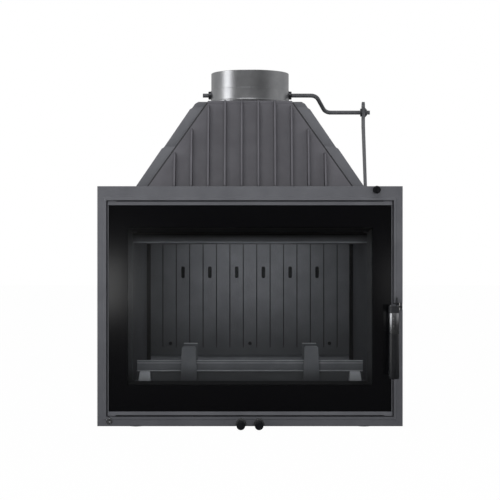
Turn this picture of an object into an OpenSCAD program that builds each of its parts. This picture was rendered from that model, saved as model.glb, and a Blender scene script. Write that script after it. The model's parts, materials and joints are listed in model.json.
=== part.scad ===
// Cast iron fireplace insert with a finned smoke hood, a flue damper worked by a pull
// knob, a glass door hung on the left and two air controls under the door.

/* [Overall] */
// Width of the facade frame
frame_w = 710; // [690:1:760]
// Height of the facade frame
frame_h = 558; // [556:1:600]
// Depth of the insert behind the face of the frame
body_d = 400; // [396:1:460]
// Height of the frame's lower edge above the floor
foot_gap = 8; // [6:0.5:30]

/* [Facade frame] */
// Width of the frame's side strips
frame_side = 21; // [20:0.5:24]
// Height of the frame's top strip
frame_top = 33; // [31:0.5:36]
// Height of the frame's bottom strip
frame_bottom = 22; // [21.5:0.5:24]
// Thickness of the frame's face
face_t = 6; // [5:0.5:6]
// Depth of the frame from its face to the back of its inner lip
frame_d = 26; // [26:0.5:30]
// Thickness of the inner lip
lip_t = 4; // [3:0.5:5]
// Depth of the lip round the outside of the frame
outer_lip_d = 22; // [16:0.5:24]
// Thickness of the outer lip
outer_lip_t = 5; // [4:0.5:5]
// Width of the raised bead round the door
bead_w = 7; // [5:0.5:9]
// Height of the bead above the face
bead_proud = 1.2; // [0.6:0.1:1.4]
// Bevel round the edges of the frame's face
edge_bevel = 1.5; // [0.5:0.1:2.5]

/* [Door] */
// Gap between the door and the frame at the sides and the top
door_gap = 2.5; // [2.4:0.1:3]
// Gap between the door and the frame at the bottom
door_gap_low = 3.1; // [2.9:0.1:4]
// Distance of the door's face behind the face of the frame
door_set = 4; // [4:0.1:4.5]
// Thickness of the door from its face to the back of its ring
door_t = 16; // [15.5:0.5:16.5]
// Height of the rails above and below the glass
rail_h = 8.5; // [8:0.5:12]
// Length of the hinge blocks at the ends of the rails
block_l = 20; // [18:0.5:30]
// Height by which the hinge blocks stand proud of the rails
block_proud = 1.5; // [1:0.1:1.8]
// Width of the steel ring behind the glass
ring_w = 35; // [32:0.5:36]
// Thickness of the door's side skins
skin_t = 2.2; // [1.5:0.1:3]
// Thickness of the glass
glass_t = 5; // [4:0.5:5]
// Width of the rope gasket
rope_w = 12; // [8:0.5:14]
// Distance of the hinge axis from the door's edge
hinge_in = 10; // [9.5:0.5:11]
// Radius of the hinge pins
hinge_r = 4; // [3:0.5:4]

/* [Fire opening] */
// Width of the fire opening at its front edge
mouth_w = 574; // [540:1:576]
// Height of the fire opening's lower edge above the frame's lower edge
mouth_z = 93.6; // [90:0.1:96]
// Height of the fire opening at its front edge
mouth_h = 368.7; // [340:0.1:372]
// Width of the bevel at the sides of the opening
mouth_side = 12; // [8:0.5:13]
// Width of the bevel at the top of the opening
mouth_top = 10.3; // [6:0.1:14]
// Width of the bevel at the bottom of the opening
mouth_low = 9; // [5:0.5:12]
// Thickness of the front casting
plate_t = 12; // [10:0.5:12]

/* [Firebox] */
// Width of the firebox outside
body_w = 600; // [598:1:606]
// Thickness of the cast walls
wall_t = 6; // [5:0.5:6.5]
// Distance of the top of the walls below the top of the frame
wall_top = 72; // [68:0.5:78]
// Width of the flange that carries the hood
flange_w = 14; // [13:0.5:18]
// Height of the top of the firebox floor
floor_z = 98; // [97:0.5:101]
// Thickness of the firebox floor
floor_t = 10; // [8:0.5:10]
// Thickness of the side linings
lining_t = 10; // [7:0.5:12]
// Distance of the side linings' front edges inside the fire opening
lining_front = 10; // [8:0.5:11]
// Distance of the side linings inside the fire opening at the rear lining
lining_rear = 31; // [25:0.5:47]
// Length of the side linings
lining_l = 267; // [200:1:300]
// Distance of the top of the linings below the top of the walls
lining_top = 61; // [54:1:76]
// Thickness of the rear lining
rear_t = 8; // [6:0.5:9]
// Depth of the air space behind the rear lining
rear_air = 6; // [5:0.5:8]
// Height of the bottom of the rear lining
rear_z = 137; // [120:1:145]
// Pitch of the grooves in the rear lining
groove_pitch = 34.6; // [30:0.1:38]
// Width of the grooves
groove_w = 2.5; // [1.5:0.1:4]
// Width of the air slots in the rear lining
slot_w = 9.5; // [6:0.5:12]
// Height of the air slots
slot_h = 30; // [20:0.5:40]

/* [Baffle and grate] */
// Depth of the baffle's front bar behind the frame's face
baffle_y = 92; // [92:1:120]
// Height of the baffle's front bar
baffle_h = 25; // [20:0.5:30]
// Thickness of the baffle plate
baffle_t = 14; // [8:0.5:16]
// Width of the fire grate
grate_w = 220; // [180:1:260]
// Depth of the fire grate
grate_d = 180; // [150:1:200]
// Number of slots in the grate
grate_slots = 9; // [5:1:10]
// Width of the ash pan
pan_w = 300; // [240:1:310]
// Height of the ash pan
pan_h = 38; // [30:0.5:40]

/* [Log guard] */
// Length of the guard bar
guard_w = 536; // [480:1:540]
// Height of the guard bar's top above the firebox floor
guard_h = 50; // [40:0.5:60]
// Depth of the guard bar behind the frame's face
guard_y = 72; // [70:0.5:74]
// Distance of the uprights from the middle
post_x = 145; // [100:1:180]
// Width of the uprights at the floor
post_w = 40; // [34:0.5:50]
// Height of the uprights above the firebox floor
post_h = 84; // [70:0.5:100]

/* [Hood] */
// Width of the hood at its foot
hood_w = 581; // [570:1:584]
// Width of the hood at its top
hood_top_w = 202; // [202:1:240]
// Height of the hood's top above the top of the frame
hood_top = 211; // [182:1:262]
// Distance of the hood's front behind the front casting at its foot
hood_front = 1; // [1:0.5:6]
// Distance of the hood's front from the insert's back at its top
hood_front_top = 275; // [270:1:290]
// Distance of the hood's rear from the insert's back at its foot
hood_rear = 20; // [16:1:30]
// Distance of the hood's rear from the insert's back at its top
hood_rear_top = 55; // [40:1:60]
// Height of the fins, square to the face that they stand on
fin_h = 24; // [15:0.5:25]
// Thickness of the fins
fin_t = 5; // [4:0.5:7]
// Pitch of the fins
fin_pitch = 39.6; // [36:0.1:44]
// Number of fins on the front
fin_count = 10; // [4:2:10]

/* [Flue collar and damper] */
// Outside diameter of the flue collar
collar_d = 194; // [180:1:194]
// Height of the flue collar
collar_h = 77; // [70:1:100]
// Wall of the flue collar
collar_t = 3; // [2:0.5:4]
// Height of the damper shaft above the hood
shaft_h = 23.8; // [20:0.1:30]
// Diameter of the damper shaft
shaft_d = 10; // [8:0.5:10]
// Radius of the crank
crank_r = 54.6; // [50:0.1:56]
// Distance of the damper plate's edge from the collar
damper_gap = 4; // [3:0.5:8]
// Thickness of the damper plate
damper_t = 4; // [3:0.5:4]
// Distance of the link bar inside the side of the hood's foot
link_x = 6.6; // [2.5:0.1:6.6]
// Thickness of the link bar
link_t = 7; // [5:0.5:7]
// Diameter of the pull knob
pull_knob_d = 18; // [14:0.5:18]

/* [Handle] */
// Distance of the handle's axis in front of the frame's face
grip_out = 65; // [55:0.5:80]
// Diameter of the handle
grip_d = 24; // [22:0.5:25]
// Height of the handle's top above the frame's lower edge
grip_top = 281.5; // [240:0.5:300]
// Height of the cap at the top of the handle
cap_h = 15.5; // [14:0.5:20]
// Length of the steel sleeve
sleeve_h = 47.6; // [30:0.1:60]
// Length of the black grip
grip_h = 103; // [80:1:120]

/* [Air controls] */
// Distance of each air knob from the middle
air_x = 21; // [20.5:0.5:24]
// Height of the air rods above the frame's lower edge
air_z = 6.6; // [6.4:0.1:6.8]
// Diameter of the air knobs
air_knob_d = 20; // [16:0.5:20]
// Length of the air knobs
air_knob_l = 45; // [30:0.5:50]
// Diameter of the flanges of the rod bushes
bush_d = 24; // [20:0.5:26]
// Travel of the air controls
air_travel = 40; // [25:1:40]

/* [Hidden] */
$fn = 64;

// Overrun of every cut
over = 1;
// Radial clearance of every running fit
fit = 0.05;
// Clearance between faces that move past each other
slip = 0.5;

// Colours of the pieces
cast_grey = "#5b5d62";
liner_grey = "#4a4b4f";
steel_grey = "#a9abb0";
black_grey = "#26272a";
rope_grey = "#3c3b3a";

// Depth is measured back from the frame's face and height up from its lower edge
front_reach = grip_out + grip_d / 2;
front_y = (front_reach - body_d) / 2;

// Openings in the frame
opening_w = frame_w - 2 * frame_side;
opening_low = frame_bottom;
opening_top = frame_h - frame_top;

// Screws that hold the frame, and the bosses behind its side strips
screw_r = 3;
screw_head_r = 5.5;
screw_head_h = 4;
boss_r = 5.9;
boss_x = opening_w / 2 + (frame_side - outer_lip_t + lip_t) / 2;
boss_shares = [0.11, 0.36, 0.9];

// Front casting and shell
plate_back = frame_d + plate_t;
wall_top_z = frame_h - wall_top;
plate_w = frame_w - 2 * outer_lip_t;
plate_low = 14;
plate_drop = 2;
base_top = plate_low + wall_t;
rear_y = body_d - wall_t;
rear_lining_y = rear_y - rear_air - rear_t;
lining_front_x = mouth_w / 2 - lining_front;
lining_rear_x = mouth_w / 2 - lining_rear;
lining_top_z = wall_top_z - lining_top;
flange_x = body_w / 2 + flange_w / 2;
bolt_shares = [0.12, 0.5, 0.88];
nut_h = 5;

// Door
door_w = opening_w - 2 * door_gap;
door_low = opening_low + door_gap_low;
door_top = opening_top - door_gap;
door_back = door_set + door_t;
glass_set = 2;
glass_y = door_set + glass_set;
tape_w = 14;
tape_t = 1.5;
ring_y = glass_y + glass_t + tape_t;
glass_low = door_low + rail_h;
glass_top = door_top - rail_h;
glass_play = 0.3;
glass_w = door_w - 2 * skin_t - 2 * glass_play;
rope_set = 2.5;
rope_side = hinge_in + rope_set;
rope_end = 2;
rope_gap = 0.3;

// Hinges
hinge_x = -door_w / 2 + hinge_in;
hinge_set = 6.5;
hinge_y = door_set + hinge_set;
lug_w = 24;
lug_h = 16;
lug_d = 14;
pin_in = 12;
thrust_r = 8;
pin_play = 0.1;
corner_shift = 5.5;
corner_drop = 9.7;
corner_x = hinge_x - corner_shift;
corner_z = frame_bottom - corner_drop;
corner_r = 7.5;
corner_h = 3;

// Ball catch in the right stile
ball_r = 2.2;
ball_case_r = 2.8;
ball_case_l = 14;
ball_z = grip_top - cap_h - sleeve_h;
ball_dimple_r = 3;
ball_dimple_out = 1.5;
ball_y = (ring_y + door_back) / 2;

// Handle bracket, with its tongue in a notch of the frame
pivot_out = 8;
pivot_drop = 3.5;
pivot_y = -pivot_out;
pivot_z = grip_top - pivot_drop;
pivot_r = 3;
lever_w = 11.5;
lever_h = 11.5;
lever_r = 7;
lever_in = 4.5;
lever_x = door_w / 2 - lever_in;
grip_shift = 1.1;
grip_x = lever_x + grip_shift;
ear_t = 2.3;
ear_x = lever_x + lever_w + slip;
ear_h = 33;
ear_drop = 11.5;
ear_low = pivot_z - ear_drop;
ear_out = 6;
ear_front = pivot_y - ear_out;
ear_back = -bead_proud - slip;
tongue_h = 4.6;
tongue_l = 21.5;
tongue_drop = 3;
tongue_low = pivot_z - tongue_drop;
tongue_front = pivot_y + lever_r + slip;
neck_front = ear_back - over;
tongue_back = face_t - slip;
root_t = 1.7;
root_d = 18;
root_y = 1;
notch_drop = 4.7;
notch_low = tongue_low - notch_drop;
notch_h = 16.2;
stud_r = 4;
stud_share = 0.86;
stud_low = grip_top - cap_h - sleeve_h - grip_h * stud_share;

// Hood
hood_z = wall_top_z + wall_t;
hood_top_z = frame_h + hood_top;
hood_rise = hood_top_z - hood_z;
hood_cap_z = hood_top_z - wall_t;
hood_front_y = plate_back + hood_front;
hood_front_top_y = body_d - hood_front_top;
hood_rear_y = body_d - hood_rear;
hood_rear_top_y = body_d - hood_rear_top;
side_slope = (hood_w - hood_top_w) / 2 / hood_rise;
front_slope = (hood_front_top_y - hood_front_y) / hood_rise;
rear_slope = (hood_rear_y - hood_rear_top_y) / hood_rise;
side_skin = wall_t / cos(atan(side_slope));
front_skin = wall_t / cos(atan(front_slope));
rear_skin = wall_t / cos(atan(rear_slope));
flange_in = 10;
fin_rise = 2;
fin_low = frame_h + fin_rise;
fin_short = 15;
fin_nose = 5;
side_fin_y = 90;
side_pitch_share = 0.76;
function half_at(z) = hood_w / 2 - (z - hood_z) * side_slope;
function front_at(z) = hood_front_y + (z - hood_z) * front_slope;
function rear_at(z) = hood_rear_y - (z - hood_z) * rear_slope;
function fin_top(x) = min(hood_top_z, hood_z + (hood_w / 2 - abs(x)) / side_slope - fin_short);
function side_fin_top(y) = min(hood_top_z, hood_z + (y - hood_front_y) / front_slope);

// Flue collar and damper
collar_r_out = collar_d / 2;
collar_bore = collar_r_out - collar_t;
collar_y = (hood_front_top_y + hood_rear_top_y) / 2;
collar_foot_w = 4;
collar_foot_r = collar_r_out + collar_foot_w;
collar_foot_h = 7;
shaft_r = shaft_d / 2;
shaft_z = hood_top_z + shaft_h;
shaft_boss_r = 10;
shaft_boss_l = 6;
spigot_step = 1;
spigot_gap = 1.2;
shaft_stub = 20;
bypass_r = 24;
clamp_x = 45;
clamp_w = 16;
clamp_d = 26;
clamp_h = 8;

// Crank: two bends in a plane that leans 45 degrees back and down at rest
crank_lean = 45;
crank_bend = 65;
crank_bend_r = 20;
bend_swell = 0.1;
crank_start = 54;
crank_x = collar_r_out + crank_start;
crank_run = (crank_r - 2 * crank_bend_r * (1 - cos(crank_bend))) / sin(crank_bend);
crank_end = 16.5;
pin_swing = crank_r * sin(crank_lean);
pin_y = collar_y + pin_swing;
pin_z = shaft_z - pin_swing;
pin_low = shaft_z - crank_r;
nut_r = 12.5;
nut_tip_r = 7;
nut_l = 5;
washer_r = 10;
washer_t = 3;
nut_gap = 0.8;

// Link bar, whose upright slot lets the crank pin rise and fall
link_bar_x = hood_w / 2 - link_x;
link_slot_play = 2.1;
link_slot_r = shaft_r + link_slot_play;
link_head_r = 15;
link_tip = 26.8;
link_w = 16;
link_foot_r = 10;
link_lean = 76.6;
foot_y = pin_y - link_lean;
pull_r = 3;
pull_shift = 9.1;
pull_x = link_bar_x + pull_shift;
pull_drop = 9;
pull_z = frame_h - pull_drop;
pull_end = 9;
link_lug_w = 15;
link_lug_h = 12;
link_lug_d = 14;
pull_knob_l = 22;
pull_knob_gap = 4;
pull_knob_hole = 12;
knob_edge = 3;

// Air controls
air_rod_r = 4;
bush_t = 4;
barrel_r = 5.3;
air_knob_gap = 1;
air_rod_l = 172;
air_knob_hole = 20;
shutter_w = 34;
shutter_d = 56;
shutter_t = 2.5;
shutter_gap = 0.3;
shutter_y = 112;
shutter_lug = 14;
inlet_w = 24;
inlet_d = 40;
rail_t = 2.5;
rail_lap = 4;

// Linings, baffle and grate
rear_screw_shares = [-0.8, 0, 0.8];
lining_screw_rise = 32;
lining_screw_z = rear_z + lining_screw_rise;
lining_screw_r = 2;
lining_head_r = 4.5;
lining_head_h = 3;
groove_depth = 1.5;
groove_rise = 21;
foot_proud = 0.5;
groove_count = 2 * floor(lining_rear_x / groove_pitch);
slot_count = 6;
slot_drop = 88;
slot_z = lining_top_z - slot_drop;
baffle_lap = 8;
baffle_bar_d = 20;
baffle_round = 8;
upstand_back = 3;
rebate = 6;
ledge = 6;
grate_proud = 4;
grate_slot_w = 9;
grate_rim = 16;
grate_y = (plate_back + rear_lining_y - grate_d) / 2;

// Ash pan and its shelf
shelf_side = 16;
shelf_w = pan_w + 2 * shelf_side;
shelf_t = 3;
shelf_z = 40;
shelf_short = 40;
shelf_back = body_d - shelf_short;
pan_y = 30;
pan_back_gap = 30;
pan_d = shelf_back - pan_back_gap - pan_y;
pan_wall = 2;
pan_play = 3;
pan_lip_w = 80;
pan_lip_d = 7;

// Log guard
guard_t = 10;
guard_bead = 6;
guard_bead_low = 3;
guard_step = 1.5;
guard_apron = 4;
guard_foot = 24;
post_t = 10;
post_top_share = 0.82;
post_corner = 4;
back_shift = 4;
back_gap = 2;
back_t = 6;
back_rise = 6;
end_in = 19.3;
end_x = guard_w / 2 - end_in;
end_w = 30;
end_top_w = 24;
end_out = 26;
end_out_top = 6;

// Feet
foot_in = 30;
foot_x = body_w / 2 - foot_in;
foot_front = 42;
foot_y_front = plate_back + foot_front;
foot_back = 34;
foot_y_rear = body_d - foot_back;
foot_r = 18;
foot_pad_h = 6;
foot_stud_r = 5;
foot_stud_l = 30;
foot_nut_r = 9.5;
foot_nut_h = 7;

// Moves a piece from the frame's own axes to the origin on the floor
module placed() {
  translate([0, front_y, foot_gap]) children();
}

// Box centred across the width, from depth y and height z
module slab(w, d, h, y, z) {
  translate([-w / 2, y, z]) cube([w, d, h]);
}

// Box from its lower left front corner
module brick(x, y, z, w, d, h) {
  translate([x, y, z]) cube([w, d, h]);
}

// A piece and its mirror image on the other side
module both() {
  children();
  mirror([1, 0, 0]) children();
}

// Round bars that run across, back and up
module bar_x(r, x, y, z, l) {
  translate([x, y, z]) rotate([0, 90, 0]) cylinder(r = r, h = l);
}

module bar_y(r, x, y, z, l) {
  translate([x, y, z]) rotate([-90, 0, 0]) cylinder(r = r, h = l);
}

module bar_z(r, x, y, z, l) {
  translate([x, y, z]) cylinder(r = r, h = l);
}

// Side outline in depth and height, w wide from x
module across(w, x) {
  translate([x, 0, 0]) rotate([90, 0, 90]) linear_extrude(w) children();
}

// Front outline in width and height, d deep from y
module through(d, y) {
  translate([0, y + d, 0]) rotate([90, 0, 0]) linear_extrude(d) children();
}

// Block with flat sloping sides between a front and a back face
module tapered(w1, b1, t1, w2, b2, t2, y1, y2) {
  low = min(b1, b2);
  wide = max(w1, w2);
  intersection() {
    translate([0, 0, low]) linear_extrude(max(t1, t2) - low)
      polygon([[-w1 / 2, y1], [w1 / 2, y1], [w2 / 2, y2], [-w2 / 2, y2]]);
    across(wide, -wide / 2) polygon([[y1, b1], [y2, b2], [y2, t2], [y1, t1]]);
  }
}

// Upright ring of square section
module frame_ring(w, h, d, y, z, t) {
  difference() {
    slab(w, d, h, y, z);
    slab(w - 2 * t, d + 2 * over, h - 2 * t, y - over, z + t);
  }
}

// Places of the frame's screws
module at_bosses() {
  both() for (share = boss_shares) translate([boss_x, 0, share * frame_h]) children();
}

// Lug behind the frame that holds a hinge pin
module hinge_lug(z) {
  brick(hinge_x - lug_w / 2, face_t, z, lug_w, lug_d, lug_h);
}

// Shaft hole of the damper pull rod
module pull_bore(y, l) {
  bar_y(pull_r + fit, pull_x, y, pull_z, l);
}

module facade_frame() {
  opening_h = opening_top - opening_low;
  bead_flat = bead_w - bead_proud;
  color(cast_grey) placed() difference() {
    union() {
      tapered(
        frame_w - 2 * edge_bevel, edge_bevel, frame_h - edge_bevel, frame_w, 0, frame_h, 0, edge_bevel);
      slab(frame_w, face_t - edge_bevel, frame_h, edge_bevel, 0);
      tapered(
        opening_w + 2 * bead_flat, opening_low - bead_flat, opening_top + bead_flat,
        opening_w + 2 * bead_w, opening_low - bead_w, opening_top + bead_w, -bead_proud, 0);
      frame_ring(frame_w, frame_h, outer_lip_d - face_t, face_t, 0, outer_lip_t);
      frame_ring(
        opening_w + 2 * lip_t, opening_h + 2 * lip_t, frame_d - face_t, face_t, opening_low - lip_t, lip_t);
      at_bosses() bar_y(boss_r, 0, face_t, 0, frame_d - face_t);
      hinge_lug(opening_top);
      hinge_lug(opening_low - lug_h);
    }
    slab(opening_w, frame_d + bead_proud + 2 * over, opening_h, -bead_proud - over, opening_low);
    brick(opening_w / 2 - over, -bead_proud - over, notch_low, frame_side + 2 * over,
      face_t + bead_proud + over, notch_h);
    brick(opening_w / 2 - over, 0, notch_low, lip_t + 2 * over, frame_d + over, notch_h);
    at_bosses() bar_y(screw_r + fit, 0, face_t, 0, frame_d);
    bar_z(hinge_r + fit, hinge_x, hinge_y, opening_top - over, pin_in + over);
    bar_z(hinge_r + fit, hinge_x, hinge_y, opening_low - pin_in, pin_in + over);
    bar_y(screw_r + fit, corner_x, -over, corner_z, face_t + over);
    bar_y(corner_r + slip, corner_x, -bead_proud - over, corner_z, bead_proud + over);
    both() bar_y(bush_d / 2 + slip, air_x, -bead_proud - over, air_z, bead_proud + over);
    pull_bore(-over, frame_d);
    both() bar_y(barrel_r + fit, air_x, -over, air_z, face_t + 2 * over);
    both() bar_y(air_rod_r + slip, air_x, face_t, air_z, frame_d);
    translate([opening_w / 2 - ball_dimple_out, ball_y, ball_z]) sphere(r = ball_dimple_r);
  }
}

module corner_screw() {
  color(cast_grey) placed() difference() {
    union() {
      bar_y(corner_r - over, corner_x, -corner_h, corner_z, over);
      bar_y(corner_r, corner_x, over - corner_h, corner_z, corner_h - over);
      bar_y(screw_r, corner_x, 0, corner_z, face_t - slip);
    }
    translate([corner_x, -corner_h - over, corner_z]) rotate([-90, 0, 0])
      cylinder(r = screw_r, h = corner_h, $fn = 6);
  }
}

module front_plate() {
  mouth_back_w = mouth_w - 2 * mouth_side;
  mouth_back_z = mouth_z + mouth_low;
  mouth_back_top = mouth_z + mouth_h - mouth_top;
  color(liner_grey) placed() difference() {
    slab(plate_w, plate_t, frame_h - plate_drop - plate_low, frame_d, plate_low);
    tapered(
      mouth_w, mouth_z, mouth_z + mouth_h, mouth_back_w, mouth_back_z, mouth_back_top, frame_d, plate_back);
    slab(mouth_w, over, mouth_h, frame_d - over, mouth_z);
    slab(mouth_back_w, over, mouth_back_top - mouth_back_z, plate_back, mouth_back_z);
    slab(pan_w + 2 * pan_play, plate_t + 2 * over, pan_h + pan_play, frame_d - over, shelf_z + shelf_t);
    at_bosses() bar_y(screw_r + fit, 0, frame_d - over, 0, plate_t + 2 * over);
    pull_bore(frame_d - over, plate_t + 2 * over);
  }
}

module frame_screws() {
  color(steel_grey) placed() at_bosses() {
    bar_y(screw_r, 0, face_t + slip, 0, plate_back - face_t - slip);
    bar_y(screw_head_r, 0, plate_back, 0, screw_head_h);
  }
}

// Places of the bolts that hold the hood, above the side flanges
module at_hood_bolts() {
  both() for (share = bolt_shares)
    translate([flange_x, plate_back + share * (body_d - plate_back), wall_top_z]) children();
}

module side_wall() {
  wall_d = rear_y - plate_back;
  placed() difference() {
    union() {
      brick(body_w / 2 - wall_t, plate_back, base_top, wall_t, wall_d, wall_top_z - base_top);
      brick(body_w / 2 - wall_t, plate_back, wall_top_z - wall_t, flange_w + wall_t, wall_d, wall_t);
    }
    at_hood_bolts() bar_z(screw_r + fit, 0, 0, -wall_t - over, wall_t + 2 * over);
  }
}

module side_wall_left() {
  color(cast_grey) mirror([1, 0, 0]) side_wall();
}

module side_wall_right() {
  color(cast_grey) side_wall();
}

// Places of the screws of the rear lining
module at_lining_screws() {
  for (share = rear_screw_shares) translate([share * lining_rear_x, 0, lining_screw_z]) children();
}

module rear_wall() {
  color(cast_grey) placed() difference() {
    slab(body_w, wall_t, wall_top_z - plate_low, rear_y, plate_low);
    at_lining_screws() bar_y(lining_screw_r + fit, 0, rear_y - over, 0, wall_t + 2 * over);
  }
}

// Places of the four feet
module at_feet() {
  both() for (y = [foot_y_front, foot_y_rear]) translate([foot_x, y, 0]) children();
}

module base_plate() {
  color(cast_grey) placed() difference() {
    slab(body_w, rear_y - plate_back, wall_t, plate_back, plate_low);
    at_feet() bar_z(foot_stud_r + fit, 0, 0, plate_low - over, wall_t + 2 * over);
    both() brick(air_x - inlet_w / 2, shutter_y + (shutter_d - inlet_d) / 2, plate_low - over,
      inlet_w, inlet_d, wall_t + 2 * over);
  }
}

module hood_flange() {
  color(cast_grey) placed() difference() {
    slab(body_w + 2 * flange_w, body_d - plate_back, wall_t, plate_back, wall_top_z);
    slab(hood_w - 2 * flange_in, hood_rear_y - hood_front_y - 2 * flange_in, wall_t + 2 * over,
      hood_front_y + flange_in, wall_top_z - over);
    at_hood_bolts() bar_z(screw_r + fit, 0, 0, -over, wall_t + 2 * over);
  }
}

module hood_bolts() {
  color(steel_grey) placed() at_hood_bolts() {
    bar_z(screw_r, 0, 0, -wall_t - nut_h, 2 * wall_t + nut_h);
    translate([0, 0, wall_t]) cylinder(r = screw_head_r, h = screw_head_h, $fn = 6);
    translate([0, 0, -wall_t - nut_h]) cylinder(r = screw_head_r, h = nut_h, $fn = 6);
  }
}

// Outline of the hood from the front, up to the height z
module hood_front_outline(z) {
  polygon([[-half_at(hood_z), hood_z], [half_at(hood_z), hood_z], [half_at(z), z], [-half_at(z), z]]);
}

// Outline of the hood from the side, drawn in at the front and the rear
module hood_side_outline(front_in, rear_in, z) {
  polygon([
    [front_at(hood_z) + front_in, hood_z], [rear_at(hood_z) - rear_in, hood_z],
    [rear_at(z) - rear_in, z], [front_at(z) + front_in, z]]);
}

module front_fin(x) {
  run = fin_h / cos(atan(front_slope));
  top = fin_top(x);
  across(fin_t, x - fin_t / 2) polygon([
    [front_at(fin_low) - run, fin_low], [front_at(fin_low), fin_low], [front_at(top), top],
    [front_at(top) - run + fin_nose, top], [front_at(top - fin_nose) - run, top - fin_nose]]);
}

module side_fin(y) {
  run = fin_h / cos(atan(side_slope));
  top = side_fin_top(y);
  through(fin_t, y) polygon([
    [half_at(fin_low), fin_low], [half_at(fin_low) + run, fin_low],
    [half_at(top - fin_nose) + run, top - fin_nose], [half_at(top) + run - fin_nose, top],
    [half_at(top), top]]);
}

module hood_front() {
  color(cast_grey) placed() {
    intersection() {
      across(hood_w, -hood_w / 2) polygon([
        [front_at(hood_z), hood_z], [front_at(hood_z) + front_skin, hood_z],
        [front_at(hood_cap_z) + front_skin, hood_cap_z], [front_at(hood_cap_z), hood_cap_z]]);
      through(body_d, 0) hood_front_outline(hood_cap_z);
    }
    both() for (i = [0 : fin_count / 2 - 1]) front_fin((i + 0.5) * fin_pitch);
  }
}

module hood_rear() {
  color(cast_grey) placed() intersection() {
    across(hood_w, -hood_w / 2) polygon([
      [rear_at(hood_z) - rear_skin, hood_z], [rear_at(hood_z), hood_z],
      [rear_at(hood_cap_z), hood_cap_z], [rear_at(hood_cap_z) - rear_skin, hood_cap_z]]);
    through(body_d, 0) hood_front_outline(hood_cap_z);
  }
}

module hood_side() {
  placed() {
    intersection() {
      through(body_d, 0) polygon([
        [half_at(hood_z) - side_skin, hood_z], [half_at(hood_z), hood_z],
        [half_at(hood_cap_z), hood_cap_z], [half_at(hood_cap_z) - side_skin, hood_cap_z]]);
      across(hood_w, 0) hood_side_outline(front_skin, rear_skin, hood_cap_z);
    }
    for (y = [side_fin_y : side_pitch_share * fin_pitch : hood_rear_top_y - fin_t]) side_fin(y);
  }
}

module hood_left() {
  color(cast_grey) mirror([1, 0, 0]) hood_side();
}

module hood_right() {
  color(cast_grey) hood_side();
}

module hood_top() {
  color(cast_grey) placed() difference() {
    intersection() {
      slab(hood_w, body_d, wall_t, 0, hood_cap_z);
      through(body_d, 0) hood_front_outline(hood_top_z);
      across(hood_w, -hood_w / 2) hood_side_outline(0, 0, hood_top_z);
    }
    bar_z(collar_bore, 0, collar_y, hood_cap_z - over, wall_t + 2 * over);
  }
}

// Collar whose upper end is turned down a little where the flue pipe slips over it
module flue_collar() {
  boss_half = collar_r_out + shaft_boss_l;
  spigot_low = shaft_z + shaft_boss_r + spigot_gap;
  color(steel_grey) placed() difference() {
    union() {
      bar_z(collar_r_out - spigot_step, 0, collar_y, hood_top_z, collar_h, $fn = 128);
      bar_z(collar_r_out, 0, collar_y, hood_top_z, spigot_low - hood_top_z, $fn = 128);
      bar_z(collar_foot_r, 0, collar_y, hood_top_z, collar_foot_h, $fn = 128);
      bar_x(shaft_boss_r, -boss_half, collar_y, shaft_z, 2 * boss_half);
    }
    bar_z(collar_bore, 0, collar_y, hood_top_z - over, collar_h + 2 * over, $fn = 128);
    bar_x(shaft_r + fit, -boss_half - over, collar_y, shaft_z, 2 * (boss_half + over));
  }
}

function lining_at(y) =
  lining_front_x - (y - plate_back) * (lining_front_x - lining_rear_x) / (rear_lining_y - plate_back);

module side_lining() {
  back = plate_back + lining_l;
  placed() translate([0, 0, floor_z]) linear_extrude(lining_top_z - floor_z) polygon([
    [lining_at(plate_back), plate_back], [lining_at(plate_back) + lining_t, plate_back],
    [lining_at(back) + lining_t, back], [lining_at(back), back]]);
}

module side_lining_left() {
  color(liner_grey) mirror([1, 0, 0]) side_lining();
}

module side_lining_right() {
  color(liner_grey) side_lining();
}

// Upright slot with cut corners
module slot_outline() {
  half = slot_w / 2;
  cut = slot_w / 4;
  polygon([
    [cut - half, 0], [half - cut, 0], [half, cut], [half, slot_h - cut],
    [half - cut, slot_h], [cut - half, slot_h], [-half, slot_h - cut], [-half, cut]]);
}

module rear_lining() {
  color(liner_grey) placed() difference() {
    union() {
      slab(2 * lining_rear_x, rear_t, lining_top_z - rear_z, rear_lining_y, rear_z);
      slab(2 * lining_rear_x, foot_proud, groove_rise, rear_lining_y - foot_proud, rear_z);
    }
    for (i = [0 : groove_count - 1])
      brick((i + 0.5 - groove_count / 2) * groove_pitch - groove_w / 2, rear_lining_y - over,
        rear_z + groove_rise, groove_w, groove_depth + over, lining_top_z);
    for (i = [0 : slot_count - 1]) translate([(2 * i + 1 - slot_count) * groove_pitch, 0, slot_z])
      through(rear_t + 2 * over, rear_lining_y - over) slot_outline();
    at_lining_screws() bar_y(lining_screw_r + fit, 0, rear_lining_y - over, 0, rear_t + 2 * over);
  }
}

module lining_screws() {
  color(steel_grey) placed() at_lining_screws() {
    bar_y(lining_head_r, 0, rear_lining_y - lining_head_h, 0, lining_head_h);
    bar_y(lining_screw_r, 0, rear_lining_y, 0, body_d - rear_lining_y);
  }
}

module baffle() {
  wide = 2 * (lining_front_x + baffle_lap);
  color(liner_grey) placed() across(wide, -wide / 2) {
    translate([baffle_y + baffle_round, lining_top_z + baffle_round]) circle(r = baffle_round);
    translate([baffle_y + baffle_round, lining_top_z + baffle_h - baffle_round]) circle(r = baffle_round);
    translate([baffle_y, lining_top_z + baffle_round]) square([baffle_bar_d, baffle_h - 2 * baffle_round]);
    translate([baffle_y + baffle_round, lining_top_z]) square([baffle_bar_d - baffle_round, baffle_h]);
    translate([baffle_y + baffle_bar_d - over, lining_top_z])
      square([rear_lining_y + rear_t - baffle_y - baffle_bar_d + over, baffle_t]);
  }
}

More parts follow.
